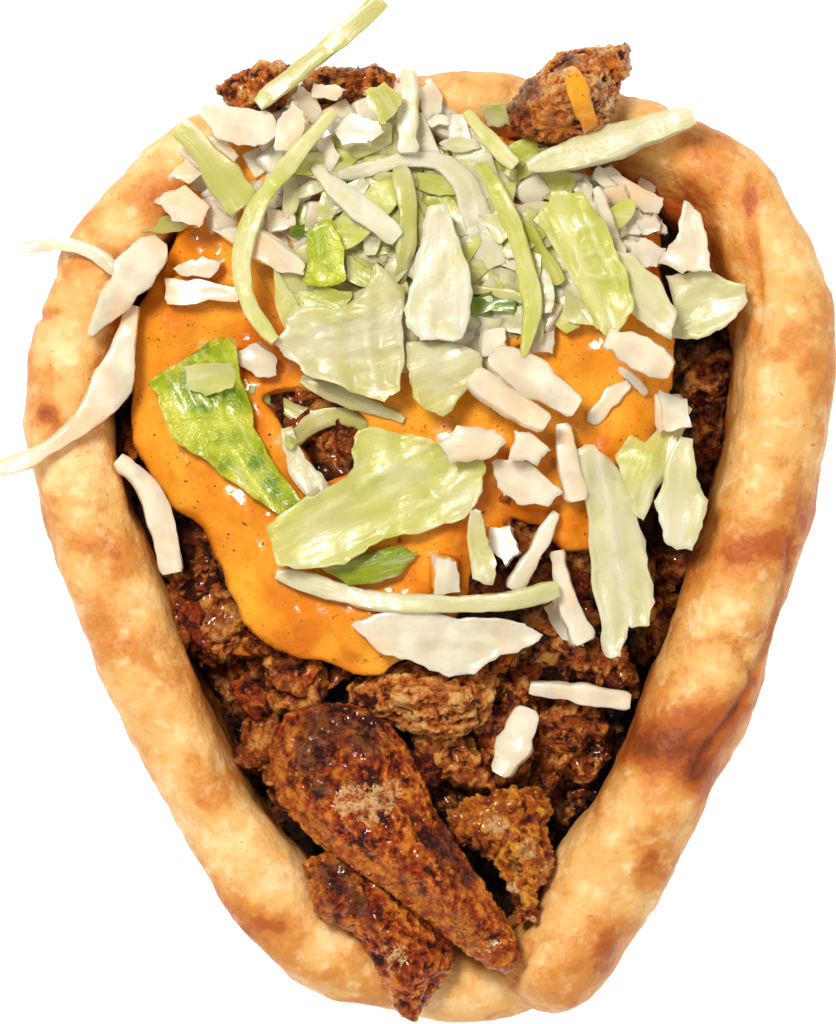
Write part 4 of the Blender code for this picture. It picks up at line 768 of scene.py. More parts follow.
def after(mesh, setup):
    """The mesh after the modifiers that setup puts on its holder."""
    holder = bpy.data.objects.new("holder", mesh)
    bpy.context.scene.collection.objects.link(holder)
    setup(holder)
    graph = bpy.context.evaluated_depsgraph_get()
    made = bpy.data.meshes.new_from_object(holder.evaluated_get(graph))
    bpy.data.objects.remove(holder)
    return made


def reskinned(node, step, rounds):
    """A node's form with an even skin of small faces, evened out."""
    def setup(holder):
        skin = holder.modifiers.new("skin", "REMESH")
        skin.mode = "VOXEL"
        skin.voxel_size = step * MM

    shape = Shape(after(clean_copy(node), setup))
    shape.relax(rounds)
    return shape


def thickened(sheet, thickness):
    def setup(holder):
        step = holder.modifiers.new("thick", "SOLIDIFY")
        step.thickness = thickness * MM
        step.offset = -1.0
        step.use_quality_normals = True

    return after(sheet, setup)


def surface_of(*nodes):
    """The surfaces of some solids, ready to be hit by rays."""
    points, faces = [], []
    for mesh in map(clean_copy, nodes):
        start = len(points)
        points.extend(v.co.copy() for v in mesh.vertices)
        faces.extend([i + start for i in p.vertices] for p in mesh.polygons)
    return BVHTree.FromPolygons(points, faces)


def top_at(tree, x, y):
    """Height of the highest surface at a place; None beside it."""
    hit = tree.ray_cast(Vector((x, y, FAR)), Vector((0, 0, -1)))[0]
    return None if hit is None else hit.z


def middle_at(tree, x, y):
    """Height halfway through a thin solid at a place; None beside it."""
    high = top_at(tree, x, y)
    low = tree.ray_cast(Vector((x, y, -FAR)), Vector((0, 0, 1)))[0]
    return None if high is None or low is None else (high + low.z) / 2


def heights_on(tree, path, rounds):
    """Heights of a surface along rows, evened out."""
    return eased_heights([top_at(tree, x * MM, y * MM) for x, y, _ in path], rounds)


def layers(points, size, octaves=3, seed=0.0, ridged=False):
    """Noise of about -1 to 1 at each point, for features of that size in millimetres."""
    scaled = points / (size * MM) + (seed, -seed, seed * 0.5)
    if ridged:
        return np.array([noise.ridged_multi_fractal(p, 0.9, 2.1, octaves, 1.0, 2.0) - 1.0 for p in scaled])
    return np.array([noise.fractal(p, 0.8, 2.1, octaves) * 1.4 for p in scaled])


def ramp(values, low, high):
    """0 below low, 1 above high, straight between."""
    return np.clip((values - low) / (high - low), 0, 1)


def to_line(points, line):
    """Distance of each point, seen from above, to a line of places in millimetres."""
    best = np.full(len(points), 1e9)
    flat = points[:, :2] / MM
    for a, b in zip(line, line[1:]):
        a, b = np.array(a, float), np.array(b, float)
        share = np.clip((flat - a) @ (b - a) / ((b - a) @ (b - a)), 0, 1)
        best = np.minimum(best, np.linalg.norm(flat - a - share[:, None] * (b - a), axis=1))
    return best


def spots(points, places):
    """1 at the middle of some places, falling off around them: x, y, reach and perhaps strength."""
    total = np.zeros(len(points))
    for x, y, reach, *strength in places:
        far = ((points[:, 0] / MM - x) ** 2 + (points[:, 1] / MM - y) ** 2) / reach**2
        total += (strength[0] if strength else 1.0) * np.exp(-far)
    return total


def note(mesh, **values):
    """Stores numbers on the mesh's points."""
    for name, numbers in values.items():
        if name in mesh.attributes:
            mesh.attributes.remove(mesh.attributes[name])
        layer = mesh.attributes.new(name, "FLOAT", "POINT")
        spread = np.zeros(len(mesh.vertices), np.float32) + numbers
        layer.data.foreach_set("value", spread.astype(np.float32))


def lengthwise(points):
    """Places seen from above, from their middle, and the directions across and along them."""
    flat = points[:, :2] - points[:, :2].mean(axis=0)
    return flat, np.linalg.eigh(np.cov(flat.T))[1]


def note_axes(mesh, tint):
    """Stores places along and across a flat piece, for its streaks."""
    flat, axes = lengthwise(points_of(mesh))
    note(mesh, along=flat @ axes[:, 1], across=flat @ axes[:, 0], tint=tint)


def note_places(mesh):
    """Stores places along and across for scattered things, and leaves their own tint."""
    points = points_of(mesh)
    note(mesh, along=points[:, 0], across=points[:, 1])


def slot_of(name):
    """Slot of a cut piece, from the name of its node or of its finish."""
    return "onion" if "onion" in name else "green_leaf" if name in GREENS else "cabbage"


def finish_piece(name, mesh, finish, slot, nodes):
    """Puts a finished mesh into the scene as a piece that stands for the nodes."""
    mesh.name = name
    mesh.materials.clear()
    mesh.materials.append(FINISHES[finish])
    mesh.polygons.foreach_set("use_smooth", [True] * len(mesh.polygons))
    if slot in ("onion", "cabbage", "green_leaf"):
        mesh.set_sharp_from_angle(angle=CRISP)
    piece = bpy.data.objects.new(name, mesh)
    bpy.context.scene.collection.objects.link(piece)
    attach(piece, "root")
    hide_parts(*nodes)


def make_bread(roof):
    """Baked bread: swollen and creased above its foot, toasted in spots; its sides are darker from browning and painted
    shade, and painted shade lies in its creases and inside the pocket.
    """
    shape = reskinned("flatbread", *BREAD_SKIN)
    normals = shape.normals()
    z = shape.points[:, 2] / MM
    upper = ramp(z, 30, 38)
    swell = layers(shape.points, 20, 2, 1.0) * 0.9
    lumps = layers(shape.points, 6.5, 3, 4.0)
    push = (swell + lumps * 0.35) * ramp(z, 3, 11)
    for depth, width, line in CREASES:
        push -= depth * np.exp(-(to_line(shape.points, line) / width) ** 2) * upper
    shape.points += normals * (push * MM)[:, None]
    mesh = shape.write()
    normals = shape.normals()
    side = 1 - np.clip(normals[:, 2], 0, 1)
    # Sides turned away from above are darker: partly browning, partly painted shade.
    toast = 0.26 * side**1.5 + 0.16 * lumps + spots(shape.points, TOAST) * np.maximum(ramp(z, 18, 36), 0.15) - 0.02
    # Painted shade along the creases.
    for _, width, line in CREASES:
        toast += 0.28 * np.exp(-(to_line(shape.points, line) / (width * 1.2)) ** 2) * upper
    # Painted shade on the wall inside the pocket, where it lies deep under what is round it.
    middle = np.column_stack([np.full(len(z), POCKET_X), np.clip(shape.points[:, 1] / MM, *POCKET_Y)]) * MM
    outward = shape.points[:, :2] - middle
    outward /= np.linalg.norm(outward, axis=1)[:, None]
    inside = np.clip(0.3 - 2 * (normals[:, :2] * outward).sum(axis=1), 0, 1)
    toast += POCKET_SHADE * inside * hollow(shape.points, roof) * ramp(z, 12, 22)
    note(mesh, toast=toast)
    finish_piece("flatbread_crust", mesh, "bread", "bread", ["flatbread"])


def craggy(node, skin, relief, seed, along=None):
    """A node's form with the crags, grain and fibres of browned meat, and how high each point stands."""
    shape = reskinned(node, *skin)
    normals = shape.normals()
    places = shape.points.copy()
    if along:
        axis = np.array([*along, 0.0]) / np.linalg.norm(along)
        places -= np.outer(places @ axis, axis) * 0.65
    crag = layers(places, 5.0, 4, seed, ridged=True)
    grain = layers(shape.points, 1.7, 3, seed + 3)
    height = crag * 0.6 + grain * 0.6 + np.abs(layers(places, 2.6, 3, seed + 7)) * 0.5 - 0.15
    shape.points += normals * (height * relief * MM)[:, None]
    return shape, np.clip(height * 0.5 + 0.5, 0, 1)


def roof_map():
    """Heights of everything seen from above, evened out over a few millimetres: the map and its corner."""
    tree = surface_of(*frame["nodes"])
    low = np.array(cad_box[0][:2]) / MM
    high = np.array(cad_box[1][:2]) / MM
    xs, ys = np.arange(low[0], high[0], ROOF_STEP), np.arange(low[1], high[1], ROOF_STEP)
    found = np.array([[top_at(tree, x * MM, y * MM) or 0.0 for y in ys] for x in xs])
    for _ in range(ROOF_ROUNDS):
        for axis in (0, 1):
            found = (np.roll(found, 1, axis) + 2 * found + np.roll(found, -1, axis)) / 4
    return found, low


def hollow(points, roof):
    """How deep each point lies under what is round it: 0 at the top, 1 a few millimetres down."""
    found, low = roof
    place = np.clip(((points[:, :2] / MM - low) / ROOF_STEP).round().astype(int), 0, np.array(found.shape) - 1)
    depth = (found[place[:, 0], place[:, 1]] - points[:, 2]) / MM
    return ramp(depth, HOLLOW_FROM, HOLLOW_TO)


def make_meat(roof):
    """The heap and the larger pieces of meat; their meshes are given back for the crumbs."""
    browned = []
    shape, height = craggy("meat_heap", HEAP_SKIN, HEAP_RELIEF, 2.0)
    note(shape.write(), height=height, tint=0.5, shade=hollow(shape.points, roof) * 0.97)
    finish_piece("meat_heap_browned", shape.mesh, "meat_dark", "meat", ["meat_heap"])
    browned.append(shape.mesh)
    for order, (node, (relief, along, finish)) in enumerate(MEATS.items()):
        shape, height = craggy(node, MEAT_SKIN, relief, 5.0 + order, along)
        note(shape.write(), height=height, tint=0.5, shade=hollow(shape.points, roof) * 0.7)
        if node in MARKS:
            pale, dark, edge = MARKS[node]
            amber = np.exp(-(to_line(shape.points, edge) / AMBER_REACH) ** 2)
            note(shape.mesh, amber=amber, patch=np.clip(spots(shape.points, pale), 0, 1),
                 purple=np.clip(spots(shape.points, dark), 0, 1))
        finish_piece(node + "_browned", shape.mesh, finish, "meat", [node])
        browned.append(shape.mesh)
    return browned


def make_sauce():
    shape = reskinned("sauce", *SAUCE_SKIN)
    normals = shape.normals()
    push = layers(shape.points, 10, 2, 3.0) + layers(shape.points, 4.5, 2, 8.0) * 0.2
    shape.points += normals * (push * MM)[:, None]
    mesh = shape.write()
    # How steep the surface is at each point, for a darker colour on the sides.
    note(mesh, thin=np.clip(1 - shape.normals()[:, 2] * 1.3, 0, 1))
    finish_piece("sauce_poured", mesh, "sauce", "sauce", ["sauce"])


def cut_piece(shape, thickness, ripple, ribs, curl, seed, folds=()):
    """A leaf or chunk from an open sheet: finely divided, rippled, ribbed along its length, torn at the rim."""
    bmesh.ops.subdivide_edges(shape, edges=shape.edges, cuts=4, smooth=0.6, use_grid_fill=True)
    bmesh.ops.triangulate(shape, faces=shape.faces)
    points = np.array([v.co for v in shape.verts])
    rim = np.array([v.co for v in shape.verts if v.is_boundary])
    far = np.sqrt(((points[:, None, :2] - rim[None, :, :2]) ** 2).sum(axis=2).min(axis=1)) / MM
    flat, axes = lengthwise(points)
    across = flat @ axes[:, 0] / MM
    long = points.copy()
    long[:, :2] -= np.outer(flat @ axes[:, 1], axes[:, 1]) * 0.72
    wave = layers(points, 13, 2, seed) * 0.8 + np.abs(layers(long, 4.5, 2, seed + 3)) * 1.5 - 0.5
    wave += layers(points, 2.6, 2, seed + 9) * 0.16
    bent = across + layers(points, 8, 2, seed + 5) * 0.8
    fringe = np.clip(1 - far / 4, 0, 1) ** 2 * (1 + layers(points, 6, 2, seed + 14))
    rise = wave * ripple + ribs * np.cos(bent * 2.6) * 0.6 + curl * fringe - 0.1
    vein = np.zeros(len(points))
    for high, width, line in folds:
        near = np.exp(-(to_line(points, line) / width) ** 2)
        rise += high * near
        vein = np.maximum(vein, near * (high > 0))
    torn = TORN * np.exp(-far / TORN_FADES)
    wavy = WAVY * np.exp(-far / WAVY_FADES)
    shift = np.column_stack([
        layers(points, 1.5, 3, seed + 20) * torn + layers(points, 5, 1, seed + 60) * wavy,
        layers(points, 1.5, 3, seed + 40) * torn + layers(points, 5, 1, seed + 80) * wavy, rise])
    for vertex, place in zip(shape.verts, points + shift * MM):
        vertex.co = place
    sheet = bpy.data.meshes.new("sheet")
    shape.to_mesh(sheet)
    shape.free()
    note(sheet, vein=vein)
    made = thickened(sheet, thickness)
    whole = Shape(made)
    count = len(points)
    if len(whole.points) == 2 * count:
        thin = THIN_RIM if thickness < THICK_FROM else THICK_RIM
        share = (thin + (1 - thin) * np.clip(far / RIM_WIDTH, 0, 1))[:, None]
        whole.points[count:] = whole.points[:count] + share * (whole.points[count:] - whole.points[:count])
        whole.write()
    note_axes(made, (seed * 0.37) % 1)
    return made


def make_leaves():
    """Leaves and flat cut pieces, each from the top of its own solid."""
    for order, (node, (thickness, ripple, ribs, curl, finish)) in enumerate(LEAVES.items()):
        shape = bmesh.new()
        shape.from_mesh(clean_copy(node))
        shape.normal_update()
        bmesh.ops.delete(shape, geom=[f for f in shape.faces if f.normal.z < TOP_FACES], context="FACES")
        made = cut_piece(shape, thickness, ripple, ribs, curl, order, FOLDS.get(node, ()))
        finish_piece(node + "_cut", made, finish, slot_of(node), [node])


def new_tree(name, wanted):
    """A Geometry Nodes tree with named inputs: the graph, the inputs as wires, their identifiers, a closing step."""
    tree = bpy.data.node_groups.new(name, "GeometryNodeTree")
    face = tree.interface
    face.new_socket("Geometry", in_out="INPUT", socket_type="NodeSocketGeometry")
    names = {
        label: face.new_socket(label, in_out="INPUT", socket_type="NodeSocket" + kind).identifier
        for label, kind in wanted.items()
    }
    face.new_socket("Geometry", in_out="OUTPUT", socket_type="NodeSocketGeometry")
    source = tree.nodes.new("NodeGroupInput")
    graph = Graph(tree)
    given = {label: Wire(graph, source.outputs[label]) for label in ("Geometry", *wanted)}

    def close(geometry):
        real = graph.node("GeometryNodeRealizeInstances", {}, {"Geometry": geometry})
        real = graph.node("GeometryNodeSetMaterial", {}, {"Geometry": real, "Material": given["Finish"]})
        sink = tree.nodes.new("NodeGroupOutput")
        tree.links.new(real.socket, sink.inputs[0])

    return graph, given, names, close


def captured(graph, geometry, fields):
    """Keeps some numbers of a geometry's points as it was before the next step."""
    kept = graph.tree.nodes.new("GeometryNodeCaptureAttribute")
    kept.domain = "POINT"
    for label, (kind, value) in fields.items():
        kept.capture_items.new(kind, label)
        graph.tree.links.new(value.socket, kept.inputs[label])
    graph.tree.links.new(geometry.socket, kept.inputs["Geometry"])
    return Wire(graph, kept.outputs["Geometry"]), {k: Wire(graph, kept.outputs[k]) for k in fields}


def shred_tree():
    """Sweeps a soft-cornered ribbon along a path; its width rides on the path's points."""
    g, given, names, close = new_tree("shred_along_path", {
        "Thickness": "Float", "Roll": "Float", "Ripple": "Float", "Seed": "Float", "Finish": "Material"})
    line = g.node("GeometryNodeMeshToCurve", {}, {"Mesh": given["Geometry"]})
    line = g.node("GeometryNodeResampleCurve", {"mode": "LENGTH"}, {"Curve": line, "Length": 0.7 * MM})
    line, path = captured(g, line, {
        "centre": ("VECTOR", g.node("GeometryNodeInputPosition")),
        "heading": ("VECTOR", g.node("GeometryNodeInputTangent")),
        "width": ("FLOAT", g.node("GeometryNodeInputNamedAttribute", {"data_type": "FLOAT"}, {"Name": "width"})),
        "gone": ("FLOAT", g.node("GeometryNodeSplineParameter", output="Length")),
    })
    corner = g.node(
        "GeometryNodeCurvePrimitiveQuadrilateral", {"mode": "RECTANGLE"}, {"Width": 2.0, "Height": 2.0})
    corner = g.node("GeometryNodeFilletCurve", {"mode": "POLY"}, {"Curve": corner, "Radius": 0.30, "Count": 2})
    corner = g.node("GeometryNodeResampleCurve", {"mode": "COUNT"}, {"Curve": corner, "Count": 18})
    corner, section = captured(g, corner, {"spot": ("VECTOR", g.node("GeometryNodeInputPosition"))})
    skin = g.node("GeometryNodeCurveToMesh", {}, {"Curve": line, "Profile Curve": corner, "Fill Caps": True})
    side = g.vector("NORMALIZE", g.vector("CROSS_PRODUCT", (0, 0, 1), path["heading"]))
    up = g.vector("CROSS_PRODUCT", path["heading"], side)
    angle = (path["gone"] * 130.0 + given["Seed"]).sine() * given["Roll"]
    tipped = g.vector("ADD", g.vector("SCALE", side, scale=angle.cosine()), g.vector("SCALE", up, scale=angle.sine()))
    upward = g.vector("CROSS_PRODUCT", path["heading"], tipped)
    split = g.node("ShaderNodeSeparateXYZ", {}, {0: section["spot"]})
    across = split * path["width"] * 0.5
    rise = Wire(g, split.socket.node.outputs[1]) * given["Thickness"] * 0.5
    place = g.vector("ADD", g.vector("SCALE", tipped, scale=across), g.vector("SCALE", upward, scale=rise))
    skin = g.node("GeometryNodeSetPosition", {}, {
        "Geometry": skin, "Position": g.vector("ADD", place, path["centre"])})
    for label, value in (("across", across), ("along", path["gone"])):
        skin = g.node("GeometryNodeStoreNamedAttribute", {"data_type": "FLOAT", "domain": "POINT"}, {
            "Geometry": skin, "Name": label, "Value": value})
    seeded = g.vector(
        "ADD", g.node("GeometryNodeInputPosition"), g.join(given["Seed"], given["Seed"], 0.0))
    waver = g.node("ShaderNodeTexNoise", {}, {"Vector": seeded, "Scale": 260.0, "Detail": 3.0}, output="Color")
    waver = g.vector("SCALE", g.vector("SUBTRACT", waver, (0.5, 0.5, 0.5)), scale=given["Ripple"])
    close(g.node("GeometryNodeSetPosition", {}, {"Geometry": skin, "Offset": waver}))
    return g.tree, names


def scatter_tree():
    """Scatters variants of a small thing over a surface, turned at random and scaled."""
    g, given, names, close = new_tree("scattered_things", {
        "Things": "Collection", "Gap": "Float", "Density": "Float", "Low": "Float", "High": "Float",
        "Lift": "Float", "Tilt": "Float", "Seed": "Int", "Finish": "Material"})
    spread = g.node("GeometryNodeDistributePointsOnFaces", {"distribute_method": "POISSON"}, {
        "Mesh": given["Geometry"], "Distance Min": given["Gap"], "Density Max": given["Density"],
        "Density Factor": g.node("GeometryNodeInputNamedAttribute", {"data_type": "FLOAT"}, {"Name": "where"}),
        "Seed": given["Seed"]})
    things = g.node("GeometryNodeCollectionInfo", {}, {
        "Collection": given["Things"], "Separate Children": True, "Reset Children": True})

    def chance(low, high, seed):
        return g.node("FunctionNodeRandomValue", {"data_type": "FLOAT"}, {2: low, 3: high, 8: seed}, output=1)

    turn = g.join(
        chance(given["Tilt"] * -1.0, given["Tilt"], 1), chance(given["Tilt"] * -1.0, given["Tilt"], 2),
        chance(0.0, 2 * math.pi, 3))
    laid = g.node("GeometryNodeInstanceOnPoints", {}, {
        "Points": spread, "Instance": things, "Pick Instance": True, "Rotation": turn,
        "Scale": chance(given["Low"], given["High"], 4)})
    laid = g.node("GeometryNodeTranslateInstances", {}, {
        "Instances": laid, "Translation": g.join(0.0, 0.0, given["Lift"]), "Local Space": False})
    laid = g.node("GeometryNodeStoreNamedAttribute", {"data_type": "FLOAT", "domain": "INSTANCE"}, {
        "Geometry": laid, "Name": "tint", "Value": chance(0.0, 1.0, 5)})
    close(laid)
    return g.tree, names


def grown(mesh, tree_and_names, finish, **values):
    """The mesh that a Geometry Nodes tree makes of another."""
    tree, names = tree_and_names

    def setup(holder):
        step = holder.modifiers.new("grown", "NODES")
        step.node_group = tree
        for label, value in {**values, "Finish": FINISHES[finish]}.items():
            step[names[label]] = value

    def closed(shape):
        bmesh.ops.remove_doubles(shape, verts=shape.verts, dist=1e-6)
        bmesh.ops.recalc_face_normals(shape, faces=shape.faces)

    return reworked(after(mesh, setup), closed)


def scattered(surface, things, kind, finish, gap, low, high, seed):
    """Small things laid over a surface, as thick, high and tilted as SPREAD says for their kind."""
    density, lift, tilt = SPREAD[kind]
    return grown(
        surface, SCATTER_TREE, finish, Things=things, Gap=gap * MM, Density=density, Low=low, High=high,
        Lift=lift * MM, Tilt=tilt, Seed=seed)


def smooth_rows(rows, count):
    """Rows evenly spaced along a smooth curve through the given rows."""
    rows = np.array(rows, float)
    padded = np.vstack([2 * rows[0] - rows[1], rows, 2 * rows[-1] - rows[-2]])
    t = np.linspace(0, 1, 12, endpoint=False)[:, None]
    spans = []
    for a, b, c, d in zip(padded, padded[1:], padded[2:], padded[3:]):
        bend = (2 * a - 5 * b + 4 * c - d) * t**2 + (3 * b - a - 3 * c + d) * t**3
        spans.append(b + 0.5 * ((c - a) * t + bend))
    spans.append(rows[-1:])
    fine = np.vstack(spans)
    along = np.concatenate([[0], np.cumsum(np.linalg.norm(np.diff(fine[:, :2], axis=0), axis=1))])
    where = np.linspace(0, along[-1], count)
    return np.column_stack([np.interp(where, along, column) for column in fine.T])


def swept_shred(rows, heights, thickness, finish, seed, roll=0.3):
    """The mesh of one shred along rows of x, y and width at the given heights."""
    path = bpy.data.meshes.new("path")
    points = [(x * MM, y * MM, z) for (x, y, _), z in zip(rows, heights)]
    path.from_pydata(points, [(i, i + 1) for i in range(len(points) - 1)], [])
    order = np.arange(len(rows))
    knots = order[::WAVER_EVERY]
    uneven = 1 + WAVER * np.interp(order, knots, np.random.default_rng(seed + 1).normal(0, 1, len(knots)))
    taper = np.clip(np.minimum(order + 1.2, len(rows) - order + 0.2) / 1.6, 0, 1)
    note(path, width=rows[:, 2] * MM * uneven * taper)
    made = grown(
        path, SHRED_TREE, finish, Thickness=thickness * MM, Roll=roll, Ripple=1.0 * MM, Seed=float(seed))
    note(made, tint=(seed * 0.37) % 1)
    return made


def eased_heights(found, rounds):
    """Heights along a path with the gaps filled from beside them, and evened out."""
    known = [i for i, z in enumerate(found) if z is not None]
    heights = np.interp(range(len(found)), known, [found[i] for i in known])
    for _ in range(rounds):
        heights[1:-1] = (heights[:-2] + 2 * heights[1:-1] + heights[2:]) / 4
    return heights


def make_shreds():
    """Shreds that are solids of their own, each swept along the middle of its solid."""
    for order, (node, (thickness, finish, rows)) in enumerate(SHREDS.items()):
        solid = surface_of(node)
        path = smooth_rows(rows, SHRED_ROWS)
        heights = eased_heights([middle_at(solid, x * MM, y * MM) for x, y, _ in path], 6)
        made = swept_shred(path, heights, thickness, finish, order)
        finish_piece(node + "_cut", made, finish, slot_of(node), [node])


def joined(meshes):
    """One mesh of several, with their stored numbers."""
    shape = bmesh.new()
    for mesh in meshes:
        shape.from_mesh(mesh)
    made = bpy.data.meshes.new("joined")
    shape.to_mesh(made)
    shape.free()
    return made


def small_things(name, count, build):
    """A collection of variants of a small thing, kept out of the scene."""
    group = bpy.data.collections.new(name)
    chance = np.random.default_rng(7)
    for order in range(count):
        shape = bmesh.new()
        build(shape, chance)
        bmesh.ops.recalc_face_normals(shape, faces=shape.faces)
        mesh = bpy.data.meshes.new(name)
        shape.to_mesh(mesh)
        shape.free()
        group.objects.link(bpy.data.objects.new(f"{name}_{order}", mesh))
    return group


def build_dice(shape, chance):
    """A cut cube of onion about one millimetre across, with soft edges."""
    bmesh.ops.create_cube(shape, size=1.0)
    for vertex in shape.verts:
        vertex.co += Vector(chance.uniform(-0.16, 0.16, 3))
        vertex.co.z *= 0.7
    bmesh.ops.bevel(
        shape, geom=list(shape.edges), offset=0.09, segments=2, profile=0.5, affect="EDGES")
    for vertex in shape.verts:
        vertex.co *= MM


def build_flake(shape, chance):
    """A shaved scrap of meat about one millimetre across, thin and bent."""
    bmesh.ops.create_icosphere(shape, subdivisions=3, radius=0.5)
    shift = Vector(chance.uniform(-9, 9, 3))
    bend = chance.uniform(-0.8, 0.8)
    for vertex in shape.verts:
        vertex.co *= 1 + 0.6 * noise.noise(shift + vertex.co * 2.8) + 0.35 * noise.noise(shift + vertex.co * 8)
        vertex.co.y *= 0.5
        vertex.co.z = vertex.co.z * 0.34 + bend * vertex.co.x**2
        vertex.co *= MM


def build_shaving(shape, chance):
    """A curved shaving of cabbage about one millimetre long."""
    turn, width, steps = chance.uniform(-1.1, 1.1), chance.uniform(0.20, 0.46), 12
    rings = []
    for i in range(steps + 1):
        t = i / steps
        a = turn * (t - 0.5)
        x = math.sin(a) / turn if abs(turn) > 0.05 else t - 0.5
        y = (1 - math.cos(a)) / turn if abs(turn) > 0.05 else 0.0
        lift = 0.10 * math.sin(t * math.pi + turn) + 0.03 * noise.noise(Vector((t * 5, turn, 0)))
        half = width / 2 * (1 - 0.5 * abs(2 * t - 1) ** 3)
        ring = []
        for u, v in SHAVING_SECTION:
            place = Vector((x - math.sin(a) * u * half, y + math.cos(a) * u * half, lift + v)) * MM
            ring.append(shape.verts.new(place))
        rings.append(ring)
    for one, two in zip(rings, rings[1:]):
        for j in range(len(one)):
            k = (j + 1) % len(one)
            shape.faces.new((one[j], one[k], two[k], two[j]))
    shape.faces.new(rings[0][::-1])
    shape.faces.new(rings[-1])


def make_extras():
    """Small cut pieces that lie on the others: bits of green, a square on the leaf, strips over the hole."""
    ground = surface_of(*[n for n in frame["nodes"] if not n.startswith("strip")])
    for order, (name, finish, nodes, chunks, strips) in enumerate(EXTRAS):
        meshes = []
        for i, (thickness, lift, outline) in enumerate(chunks):
            seed = SEEDS["extra_chunks"] + 10 * order + i
            meshes.append(raised(laid_chunk(outline, thickness, [ground], seed), lift))
        for i, (thickness, lift, rows) in enumerate(strips):
            path = smooth_rows(rows, SMALL_ROWS)
            heights = heights_on(ground, path, 14) + lift * MM
            seed = SEEDS["extra_strips"] + 10 * order + i
            meshes.append(swept_shred(path, heights, thickness, finish, seed))
        finish_piece(name, joined(meshes), finish, slot_of(finish), nodes)


def make_drip():
    """Sauce that has run down the chunk at the back."""
    ground = surface_of("meat_chunk_back", "flatbread", "meat_heap")
    path = smooth_rows(DRIP, SMALL_ROWS)
    made = swept_shred(path, heights_on(ground, path, 3) + DRIP_LIFT * MM, DRIP_THICK, "sauce", 4, 0.1)
    note(made, thin=0.0)
    finish_piece("sauce_drip", made, "sauce", "sauce", ["meat_chunk_back"])


def build_crumb(shape, chance):
    """An uneven crumb about one millimetre across."""
    bmesh.ops.create_icosphere(shape, subdivisions=1, radius=0.5)
    stretch = Vector(chance.uniform(0.4, 1.6, 3))
    for vertex in shape.verts:
        vertex.co = (vertex.co + Vector(chance.uniform(-0.2, 0.2, 3))) * stretch * MM


def clear_things(group):
    for item in list(group.objects):
        bpy.data.objects.remove(item)
    bpy.data.collections.remove(group)


def laid_chunk(outline, thickness, grounds, seed):
    """A chunk that lies in the plane that fits the ground under its outline; the first ground that is hit counts."""
    centre = np.mean(outline, axis=0)
    inner = [centre + (np.array(p) - centre) * s for p in outline for s in (0.2, 0.55, 0.8)]
    seen = []
    for x, y in inner:
        found = [z for z in (top_at(ground, x * MM, y * MM) for ground in grounds) if z is not None]
        seen.append((x, y, found[0]))
    seen = np.array(seen)
    keep = np.abs(seen[:, 2] - np.median(seen[:, 2])) < NEAR_MIDDLE * MM
    flat = np.column_stack([seen[keep, 0], seen[keep, 1], np.ones(keep.sum())])
    plane = np.linalg.lstsq(flat, seen[keep, 2], rcond=None)[0]
    plane[:2] *= min(1, STEEPEST * MM / max(np.linalg.norm(plane[:2]), 1e-9))
    plane[2] = np.median(seen[keep, 2] - flat[:, :2] @ plane[:2])
    shape = bmesh.new()
    shape.faces.new([shape.verts.new((x * MM, y * MM, plane @ (x, y, 1))) for x, y in outline])
    shape.normal_update()
    if shape.faces[:][0].normal.z < 0:
        bmesh.ops.reverse_faces(shape, faces=shape.faces)
    bmesh.ops.triangulate(shape, faces=shape.faces)
    return cut_piece(shape, thickness, 0.35, 0.1, 0.4 if thickness < 2.5 else -0.3, seed)


def make_sunk_bits():
    """Onion bits half sunk in the sauce."""
    ground = surface_of("sauce")
    bits = [
        raised(laid_chunk(outline, SUNK_THICK, [ground], SEEDS["sunk"] + i), SUNK_LIFT)
        for i, outline in enumerate(SUNK_BITS)]
    finish_piece("sauce_onion_bits", joined(bits), "onion", "onion", ["sauce"])


def make_flakes(roof):
    """Shaved scraps of meat over the heap."""
    flakes = small_things("flake", 8, build_flake)
    surface = reworked(
        clean_copy("meat_heap"), lambda shape: bmesh.ops.subdivide_edges(shape, edges=shape.edges, cuts=1))
    up = np.array([v.normal.z for v in surface.vertices])
    patchy = np.clip(layers(points_of(surface), 14, 2, 5) + 0.9, 0.25, 1)
    note(surface, where=np.clip(up * 2 - 0.5, 0, 1) * patchy)
    for name, finish, *spread in FLAKES:
        made = scattered(surface, flakes, "flakes", finish, *spread)
        note(made, height=0.5, shade=hollow(points_of(made), roof) * 0.95)
        finish_piece(name, made, finish, "meat", ["meat_heap"])
    clear_things(flakes)


def salad_bed(below):
    """A fine sheet inside the heap's edge that lies over what is below it."""
    bed = bmesh.new()
    bed.faces.new([bed.verts.new((x * MM, y * MM, 0)) for x, y in SALAD_EDGE])
    bmesh.ops.triangulate(bed, faces=bed.faces)
    for _ in range(5):
        long = [e for e in bed.edges if e.calc_length() > BED_EDGE * MM]
        bmesh.ops.subdivide_edges(bed, edges=long, cuts=1)
        bmesh.ops.triangulate(bed, faces=bed.faces)
        inner = [v for v in bed.verts if not v.is_boundary]
        bmesh.ops.smooth_vert(bed, verts=inner, factor=0.5, use_axis_x=True, use_axis_y=True)
    for vertex in bed.verts:
        vertex.co.z = (top_at(below, vertex.co.x, vertex.co.y) or 0.05) + BED_LIFT * MM
    sheet = bpy.data.meshes.new("bed")
    bed.to_mesh(sheet)
    bed.free()
    return evened(sheet, 4)


def evened(sheet, rounds):
    """The same sheet with its heights evened out."""
    def work(shape):
        for _ in range(rounds):
            bmesh.ops.smooth_vert(shape, verts=shape.verts, factor=0.5, use_axis_z=True)

    return reworked(sheet, work)


